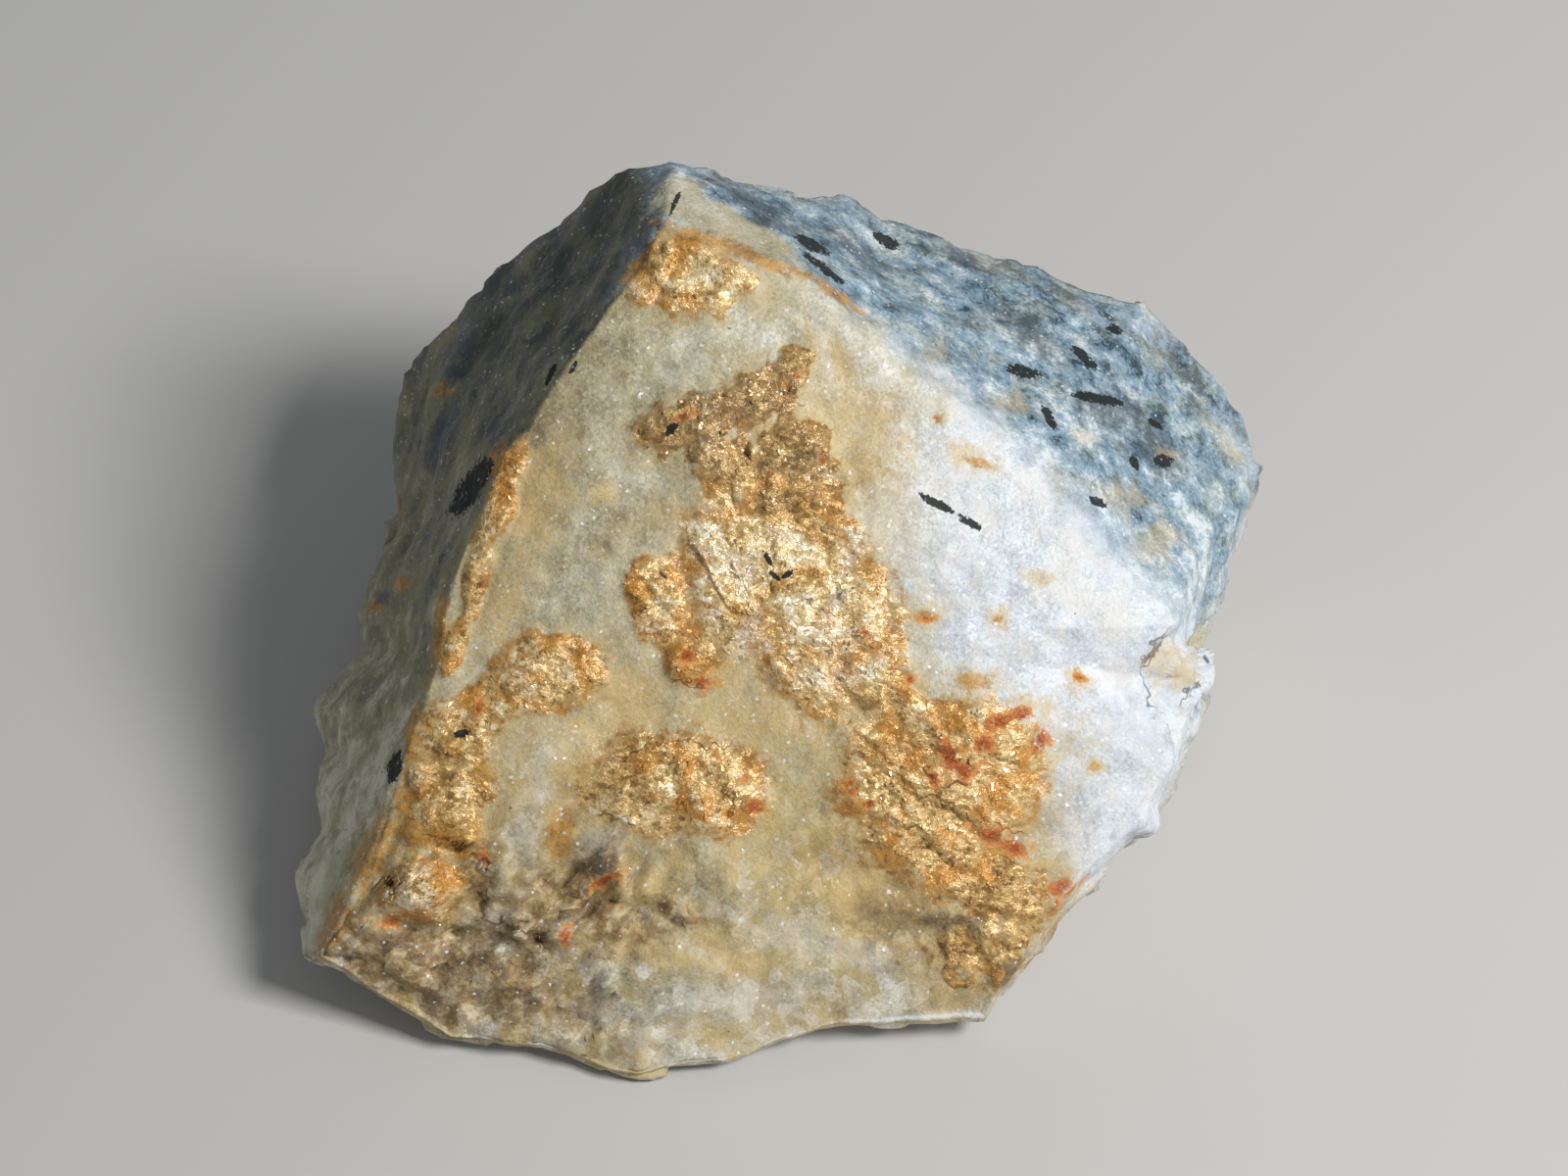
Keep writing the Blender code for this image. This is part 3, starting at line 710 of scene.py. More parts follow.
def closedMesh(points):
    # four-sided faces from ring to ring, and a fan to a point at each end
    rings, around = points.shape[:2]
    number = np.arange(rings * around).reshape(rings, around)
    after = np.roll(number, -1, 1)
    quads = np.stack((number[:-1], after[:-1], after[1:], number[1:]), -1).reshape(-1, 4)
    top = np.full(around, rings * around)
    topFan = np.stack((top, after[0], number[0]), -1)
    bottomFan = np.stack((top + 1, number[-1], after[-1]), -1)
    vertices = np.concatenate((points.reshape(-1, 3), points[:1].mean(1), points[-1:].mean(1)))
    return vertices, quads.tolist() + topFan.tolist() + bottomFan.tolist()


def sideField(points, plain, face, level, normals):
    # 1 off the broad face. It starts softly at the right rim and sharply elsewhere, and leaves out the strip
    # under the apex, the right lump and the lip of the toe.
    facing = marks["facing"]
    softEdge = reached("softSide", level + noiseBy(marks["roughened"]["softRim"], points))
    rightward = smoothStep(*facing["right"], normals[..., 0])
    side = rightward * softEdge + (1.0 - rightward) * reached("sharpSide", level)
    lip = smoothStep(*facing["forward"], normals[..., 1]) * smoothStep(*facing["upright"], normals[..., 2])
    strip = smoothStep(*marks["stripBy"], markField("strip", face, plain)) * (level < marks["stripEnd"])
    return side * (1.0 - lip) * (1.0 - strip)


def stoneSurface():
    # the block's grid with its relief, and the fields that the material reads at each of its points
    points, level = blockGrid()
    plain = roundedRim(points, level)
    normals = gridNormals(plain, level)
    face = toFace(plain)
    crust, tone = crustField(face, plain)
    brown = markField("brown", face, plain)
    roughened = marks["roughened"]
    across = face[..., 0] + noiseBy(roughened["leftSide"], plain)
    leftSide = smoothStep(*marks["leftSideAcross"], across)
    height = frontHeight(plain, face, level, brown)
    height += sideHeight(plain, face, level, normals, leftSide)
    for size, rise in relief["grit"]:
        height += rise * noiseField(plain, size, 8.0)
    points = displaced(plain, level, normals, height)
    vertices, faces = closedMesh(points)

    whiteUp, whiteAcross = np.array(marks["whiteEdge"]).T
    white = face[..., 0] - np.interp(face[..., 1], whiteUp, whiteAcross)
    # tan marks break up on the sides, and end above the hidden ones
    broken = reached("tanBroken", level) * noiseBy(roughened["tanBroken"], points)
    ended = marks["tanDrop"] * reached("tanEnd", level) * (face[..., 1] < 0.0)
    towards = smoothStep(*marks["facing"]["front"], normals @ faceOut)
    fields = {
        "crust": crust,
        "tone": tone,
        "brown": brown,
        "white": white + noiseBy(roughened["white"], points),
        "tan": markField("tan", face, points) + broken - ended,
        "quartz": markField("quartz", face, points),
        "ochre": markField("ochre", face, points),
        "rust": ovalsField(face, marks["rust"]),
        "side": sideField(points, plain, face, level, normals),
        "leftSide": leftSide,
        "shown": (1.0 - reached("shownEnd", level)) * towards,
        "hidden": reached("hidden", level + noiseBy(roughened["hidden"], points)),
        "crease": height,
        "level": level,
    }
    return vertices, faces, fields


def fitToBox(vertices):
    # stretched evenly along each axis until it just fills the block's box
    low, high = np.array(cadBox) / mm
    own = vertices.min(0), vertices.max(0)
    return low + (vertices - own[0]) * (high - low) / (own[1] - own[0])


def meshPiece(name, vertices, faces, fields):
    # a mesh in metres, with an attribute for each field; vertices beyond a field take its first value
    mesh = bpy.data.meshes.new(name)
    mesh.from_pydata((vertices * mm).tolist(), [], faces)
    for field, values in fields.items():
        flat = values.ravel()
        flat = np.concatenate((flat, np.full(len(vertices) - len(flat), flat[0])))
        mesh.attributes.new(field, "FLOAT", "POINT").data.foreach_set("value", flat.astype(np.float32))
    mesh.shade_smooth()
    piece = bpy.data.objects.new(name, mesh)
    bpy.context.scene.collection.objects.link(piece)
    return piece


def put(tree, kind, inputs=None, **settings):
    # a new node with its settings, each input linked or given its value
    node = tree.nodes.new(kind)
    for key, value in settings.items():
        setattr(node, key, value)
    for key, value in (inputs or {}).items():
        if isinstance(value, bpy.types.NodeSocket):
            tree.links.new(value, node.inputs[key])
        else:
            node.inputs[key].default_value = value
    return node


def calc(tree, operation, a, b=0.0):
    # one sum on single values
    return put(tree, "ShaderNodeMath", {0: a, 1: b}, operation=operation).outputs[0]


def vector(tree, operation, inputs):
    # one sum on three values at once
    return put(tree, "ShaderNodeVectorMath", inputs, operation=operation).outputs[0]


def blend(tree, factor, a, b):
    # colour a, turning to b as factor goes to 1
    return put(tree, "ShaderNodeMix", {0: factor, 6: a, 7: b}, data_type="RGBA").outputs[2]


def between(tree, factor, a, b):
    # the same for single values
    return put(tree, "ShaderNodeMix", {0: factor, 2: a, 3: b}, data_type="FLOAT").outputs[0]


def ramp(tree, value, low, high, start=0.0, end=1.0):
    # start at low, turning to end at high by 3t^2 - 2t^3
    inputs = {"Value": value, "From Min": low, "From Max": high, "To Min": start, "To Max": end}
    return put(tree, "ShaderNodeMapRange", inputs, interpolation_type="SMOOTHSTEP").outputs[0]


def noise(tree, coords, size, detail, roughness):
    # smooth noise of this size with finer detail, about a half
    inputs = {"Vector": coords, "Scale": 1.0 / size, "Detail": detail, "Roughness": roughness}
    return put(tree, "ShaderNodeTexNoise", inputs).outputs[0]


def cells(tree, coords, scale):
    # a cell for each point of a jittered lattice: its random colour, and the distance to its point
    return put(tree, "ShaderNodeTexVoronoi", {"Vector": coords, "Scale": scale}).outputs


def split(tree, colour):
    # the three values of a colour
    return put(tree, "ShaderNodeSeparateColor", {0: colour}).outputs


def field(tree, name):
    # an attribute of the mesh, as a value
    return put(tree, "ShaderNodeAttribute", attribute_name=name).outputs["Fac"]


def pushed(tree, start, colour, amount):
    # start + amount x (colour - 1/2), which tilts a normal or bends coordinates
    away = vector(tree, "SUBTRACT", {0: colour, 1: (0.5, 0.5, 0.5)})
    return vector(tree, "ADD", {0: start, 1: vector(tree, "SCALE", {0: away, "Scale": amount})})


def newGroup(name, inputs, outputs):
    # a group with these sockets, what it is given and where its results go
    group = bpy.data.node_groups.new(name, "ShaderNodeTree")
    for socket, kind, value in inputs:
        made = group.interface.new_socket(socket, in_out="INPUT", socket_type="NodeSocket" + kind)
        if value is not None:
            made.default_value = value
    for socket, kind in outputs:
        group.interface.new_socket(socket, in_out="OUTPUT", socket_type="NodeSocket" + kind)
    given = group.nodes.new("NodeGroupInput").outputs
    return group, given, group.nodes.new("NodeGroupOutput").inputs


def groupNode(tree, group, inputs):
    # a node group placed with its own values
    return put(tree, "ShaderNodeGroup", inputs, node_tree=group).outputs


def faceCoords(tree):
    # Object coordinates turned to the broad face: across, up and out of it, in millimetres
    middle = toFace(np.zeros(3))
    inputs = {
        "Vector": put(tree, "ShaderNodeTexCoord").outputs["Object"],
        "Location": (middle[0], middle[1], -middle[2]),
        "Rotation": (-slope, 0.0, 0.0),
        "Scale": (1.0 / mm, 1.0 / mm, 1.0 / mm),
    }
    return put(tree, "ShaderNodeMapping", inputs).outputs[0]


def tones(tree, value, stops):
    # a colour for each value, by straight blends between the stops
    node = put(tree, "ShaderNodeValToRGB", {0: value})
    band = node.color_ramp
    while len(band.elements) < len(stops):
        band.elements.new(0.5)
    for element, (place, colour) in zip(band.elements, stops):
        element.position = place
        element.color = (*colour, 1.0)
    return node.outputs[0]


def added(tree, *terms):
    # a half, and weight x (value - its mid value) for each term
    total = 0.5
    for value, mid, weight in terms:
        part = calc(tree, "MULTIPLY", calc(tree, "SUBTRACT", value, mid), weight)
        total = calc(tree, "ADD", part, total)
    return total


def nearest(tree, coords, lenses):
    # distance to the nearest of some lens-shaped grains, each measured by its own size: 1 at its edge
    far = 9.0
    for across, up, turn, halfLength, halfWidth in lenses:
        inputs = {
            "Vector": coords,
            "Location": (across, up, 0.0),
            "Rotation": (0.0, 0.0, math.radians(turn)),
            "Scale": (halfLength, halfWidth, 999.0),  # so long that the depth hardly counts
        }
        local = put(tree, "ShaderNodeMapping", inputs, vector_type="TEXTURE").outputs[0]
        length = put(tree, "ShaderNodeVectorMath", {0: local}, operation="LENGTH").outputs["Value"]
        far = calc(tree, "MINIMUM", length, far)
    return far


def betweenPoints(lines):
    # a lens from one point to another for each line, a little longer than it: (from, to, half width)
    lenses = []
    for (x, y), (endX, endY), halfWidth in lines:
        turn = math.degrees(math.atan2(endY - y, endX - x))
        length = math.hypot(endX - x, endY - y)
        lenses.append(((x + endX) / 2, (y + endY) / 2, turn, 0.56 * length, halfWidth))
    return lenses


def makeRagged():
    # A crisp mask from a slow field: the field plus wobble x (noise - 1/2), cut at zero within the softness.
    inputs = (("Field", "Float", 0.0), ("Noise", "Float", 0.5), ("Wobble", "Float", 0.3),
              ("Softness", "Float", 0.1))
    group, given, results = newGroup("ragged", inputs, (("Mask", "Float"),))
    rough = calc(group, "MULTIPLY", calc(group, "SUBTRACT", given["Noise"], 0.5), given["Wobble"])
    total = calc(group, "ADD", given["Field"], rough)
    low = calc(group, "MULTIPLY", given["Softness"], -1.0)
    group.links.new(ramp(group, total, low, given["Softness"]), results["Mask"])
    return group


# the cells that get painted glints, and how faint the faintest is
crystalFinish = {
    "glinting": (0.975, 0.995),  # from and to in a cell's chance
    "faintest": 0.2,
}


def makeGrain():
    # sugary crystals: each cell has its own shade and its own tilt, and a few catch the light; Glint is the
    # mask of those few, which the stone paints white as painted glints
    inputs = (("Coords", "Vector", None), ("Scale", "Float", 2.0), ("Tilt", "Float", 0.3))
    outputs = (("Shade", "Float"), ("Glint", "Float"), ("Normal", "Vector"))
    group, given, results = newGroup("crystalGrain", inputs, outputs)
    colour = cells(group, given["Coords"], given["Scale"])["Color"]
    shade, chance, brightness = split(group, colour)[:3]
    few = ramp(group, chance, *crystalFinish["glinting"])
    brightness = ramp(group, brightness, 0.0, 1.0, crystalFinish["faintest"], 1.0)
    facing = put(group, "ShaderNodeNewGeometry").outputs["Normal"]
    tilted = pushed(group, facing, colour, given["Tilt"])
    group.links.new(shade, results["Shade"])
    group.links.new(calc(group, "MULTIPLY", few, brightness), results["Glint"])
    group.links.new(vector(group, "NORMALIZE", {0: tilted}), results["Normal"])
    return group


goldFinish = {
    # colours from dark to light, each at its place from 0 to 1
    "gold": ((0.04, (0.23, 0.115, 0.028)), (0.26, (0.45, 0.265, 0.085)), (0.50, (0.65, 0.43, 0.165)),
             (0.74, (0.84, 0.635, 0.32)), (0.97, (1.00, 0.91, 0.70))),
    "orange": (0.60, 0.28, 0.055, 1.0),
    # painted highlight: the pale sheen laid on the leaf's colour
    "sheen": (0.96, 0.86, 0.68, 1.0),
    "rim": (0.36, 0.19, 0.06, 1.0),
    # the weight of the wrinkles is painted shade: darker in the troughs of the wrinkle relief
    "mix": {"patches": 1.5, "wrinkles": 0.8, "facets": 0.26},  # what makes it lighter and darker
    "byTone": 0.30,  # how much lighter a crust is for its tone
    # painted shade and light: a crust is darker where the stone's relief is low and lighter where it is high
    "byCrease": 0.20,  # and for its height
    # from and to, by noise or facet
    "orangePatches": (0.46, 0.62),
    "sheenPatches": (0.48, 0.62),
    "sheenFacets": (0.15, 0.85, 0.35, 1.0),
    "patches": {"Scale": 0.42, "Detail": 4.0, "Roughness": 0.6},
    "wrinkles": (0.42, 3.0, 0.65),  # size, detail, roughness
    "wrinkleTurn": 38.0,
    "wrinkleSquash": (0.7, 1.1, 1.0),
    "wrinkleHeight": 0.26,
    "facetScale": 2.7,  # to a millimetre
    "facetTilt": 0.5,
    "metallic": 0.20,
}


def makeGold():
    # tan-gold leaf with orange patches and a pale sheen, lighter where Tone is higher. The sheen is a painted
    # highlight, and the wrinkles darken the colour in the troughs of the noise that gives their relief:
    # painted shade
    inputs = (("Coords", "Vector", None), ("Tone", "Float", 0.0), ("Sheen", "Float", 0.3),
              ("Orange", "Float", 0.7))
    outputs = (("Color", "Color"), ("Relief", "Float"), ("Normal", "Vector"))
    group, given, results = newGroup("goldLeaf", inputs, outputs)
    coords, mix = given["Coords"], goldFinish["mix"]
    patches = {"Vector": coords, **goldFinish["patches"]}
    patches = split(group, put(group, "ShaderNodeTexNoise", patches).outputs["Color"])
    turn = (0.0, 0.0, math.radians(goldFinish["wrinkleTurn"]))
    turned = {"Vector": coords, "Rotation": turn, "Scale": goldFinish["wrinkleSquash"]}
    turned = put(group, "ShaderNodeMapping", turned).outputs[0]
    wrinkles = noise(group, turned, *goldFinish["wrinkles"])
    facets = cells(group, turned, goldFinish["facetScale"])["Color"]
    shades = split(group, facets)
    value = added(group, (patches[0], 0.5, mix["patches"]), (wrinkles, 0.5, mix["wrinkles"]),
                  (shades[0], 0.5, mix["facets"]), (given["Tone"], 0.0, 1.0))
    colour = tones(group, value, goldFinish["gold"])
    orange = calc(group, "MULTIPLY", ramp(group, patches[1], *goldFinish["orangePatches"]), given["Orange"])
    colour = blend(group, orange, colour, goldFinish["orange"])
    sheen = calc(group, "MULTIPLY", ramp(group, patches[2], *goldFinish["sheenPatches"]), given["Sheen"])
    sheen = calc(group, "MULTIPLY", sheen, ramp(group, shades[1], *goldFinish["sheenFacets"]))
    facing = put(group, "ShaderNodeNewGeometry").outputs["Normal"]
    relief = calc(group, "MULTIPLY", wrinkles, goldFinish["wrinkleHeight"])
    group.links.new(blend(group, sheen, colour, goldFinish["sheen"]), results["Color"])
    group.links.new(relief, results["Relief"])
    group.links.new(pushed(group, facing, facets, goldFinish["facetTilt"]), results["Normal"])
    return group


scales = {
    "count": 7000,
    "radius": (0.05, 0.23),
    "radiusPower": 1.6,  # over 1, so there are more small ones than large
    "narrow": (0.38, 0.85),  # width over length
    "grainWay": (-38.0, 130.0),  # middle direction of the long way on the face, and how far it wanders
    "wayNoise": (7.0, 21.0),  # size, shift
    "wayJitter": 0.4,
    "thickness": 0.10,
    "proud": 0.015,  # of the stone
    "flare": 1.05,  # size of the underside over the top
    "tilt": 0.20,
    "uneven": (0.7, 1.2),  # a corner's distance from the middle, over the radius
    "strewn": 0.2,  # how far from its point on the stone
    "inCrust": (-0.10, 0.30),  # from and to, by depth into a crust
    "inCrustPower": 1.5,
    "ochreMost": 0.3,  # none deeper into an ochre mark
    "rimLevel": 0.985,  # none beyond it
    "keepOff": 1.3,  # how far from a black grain, in its own measure
    "keepOffCrack": 2.0,  # in half widths
    "shade": (-0.08, 0.18),  # each is lighter by a random amount between these
    "dark": -0.8,  # tone under which a crust is thin and dark but full of glints
    "darkChance": 1.2,
    "paleChance": (0.4, 1.4),  # at least and at most, and more for a higher tone
    # by tone, from and to, with the shares there
    # sheen: a painted highlight laid on the scales' colour
    "sheen": (0.1, 0.5, 0.0, 0.6),
    "orange": (-1.1, -0.4, 0.3, 0.8),
    "grain": (6.0, 0.3),  # crystals to a millimetre, tilt
    "finish": {"Metallic": 0.15, "IOR": 1.65, "Roughness": 0.30},
}


def scaleChances(face, area, fields):
    # How likely a scale is at each point: by its area and its depth into a crust, and more where the tone is
    # high or very low. There is none by a black grain or a crack, or on rust or ochre.
    tone = fields["tone"]
    chance = area * smoothStep(*scales["inCrust"], fields["crust"]) ** scales["inCrustPower"]
    chance *= fields["level"] < scales["rimLevel"]
    pale = np.clip(1.0 + tone, *scales["paleChance"])
    chance *= np.where(tone < scales["dark"], scales["darkChance"], pale)
    for across, up, turn, halfLength, halfWidth in stoneFinish["blackGrains"]:
        chance *= oval(face, across, up, halfLength, halfWidth, turn) > scales["keepOff"]
    for across, up, turn, halfLength, halfWidth in betweenPoints(stoneFinish["cracksAndShadeLines"]):
        chance *= oval(face, across, up, halfLength, scales["keepOffCrack"] * halfWidth, turn) > 1.0
    chance *= (fields["rust"] < 0.0) * (fields["ochre"] < scales["ochreMost"])
    return chance.ravel() / chance.sum()


def plateFaces(count):
    # a hexagon above, one below the other way round, and six walls, for each 12 corners in turn
    first = 12 * np.arange(count)[:, None]
    k = np.arange(6)
    after = (k + 1) % 6
    walls = first[..., None] + np.stack((k, k + 6, after + 6, after), -1)
    return (first + k).tolist() + (first + 11 - k).tolist() + walls.reshape(-1, 4).tolist()


def goldScales(vertices, fields):
    # Narrow hexagonal plates strewn over the crusts, their long way following a slowly turning direction.
    # Each lies nearly flat on the stone and leans a little; its corners are at uneven distances from its
    # middle, and most of its thickness is in the stone.
    draw = np.random.RandomState(41)
    rings = fields["level"].shape[1]
    grid = vertices[:fields["level"].size].reshape(-1, rings, 3)
    along = np.roll(grid, -1, 1) - np.roll(grid, 1, 1)
    square = np.cross(along, np.gradient(grid, axis=0))
    area = np.linalg.norm(square, axis=-1)
    square /= np.maximum(area, 1e-9)[..., None]
    count = scales["count"]
    chosen = draw.choice(area.size, count, p=scaleChances(toFace(grid), area, fields))
    place = grid.reshape(-1, 3)[chosen]
    normal = square.reshape(-1, 3)[chosen] + scales["tilt"] * draw.uniform(-1.0, 1.0, (count, 3))
    normal /= np.linalg.norm(normal, axis=1, keepdims=True)
    middleWay, wander = scales["grainWay"]
    wandered = noiseField(place, *scales["wayNoise"]) + scales["wayJitter"] * draw.normal(size=count)
    way = np.radians(middleWay + wander * wandered)
    way = np.cos(way)[:, None] * faceAxes[0] + np.sin(way)[:, None] * faceAxes[1]
    upright = np.cross(normal, way)
    upright /= np.linalg.norm(upright, axis=1, keepdims=True)
    sideways = np.cross(upright, normal)
    angle = np.arange(6) * math.pi / 3.0
    low, high = scales["radius"]
    radius = low + (high - low) * draw.uniform(0.0, 1.0, count) ** scales["radiusPower"]
    radius = radius[:, None] * draw.uniform(*scales["uneven"], (count, 6))
    narrow = draw.uniform(*scales["narrow"], count)[:, None]
    ring = (radius * np.cos(angle))[..., None] * sideways[:, None]
    ring = ring + (radius * narrow * np.sin(angle))[..., None] * upright[:, None]
    strewn = scales["strewn"]
    middle = place + sideways * draw.uniform(-strewn, strewn, (count, 1))
    middle = (middle + upright * draw.uniform(-strewn, strewn, (count, 1)))[:, None]
    top = middle + ring + scales["proud"] * normal[:, None]
    bottom = middle + scales["flare"] * ring - (scales["thickness"] - scales["proud"]) * normal[:, None]
    corners = np.concatenate((top, bottom), axis=1).reshape(-1, 3)
    tone = fields["tone"].ravel()[chosen]
    shade = goldFinish["byTone"] * np.maximum(tone, scales["dark"]) + draw.uniform(*scales["shade"], count)
    return corners, plateFaces(count), {"shade": np.repeat(shade, 12), "tone": np.repeat(tone, 12)}


def newMaterial(name):
    # a material, its tree and the inputs of its shader
    material = bpy.data.materials.new(name)
    material.use_nodes = True
    return material, material.node_tree, material.node_tree.nodes["Principled BSDF"].inputs


def scalesMaterial(groups):
    # gold leaf, shaded scale by scale
    material, tree, shader = newMaterial("goldScales")
    coords = faceCoords(tree)
    tone = field(tree, "tone")
    inputs = {
        "Coords": coords,
        "Tone": field(tree, "shade"),
        "Sheen": ramp(tree, tone, *scales["sheen"]),
        "Orange": ramp(tree, tone, *scales["orange"]),
    }
    gold = groupNode(tree, groups["gold"], inputs)
    size, tilt = scales["grain"]
    grain = groupNode(tree, groups["grain"], {"Coords": coords, "Scale": size, "Tilt": tilt})
    tree.links.new(gold["Color"], shader["Base Color"])
    tree.links.new(grain["Normal"], shader["Normal"])
    for key, value in scales["finish"].items():
        shader[key].default_value = value
    return material


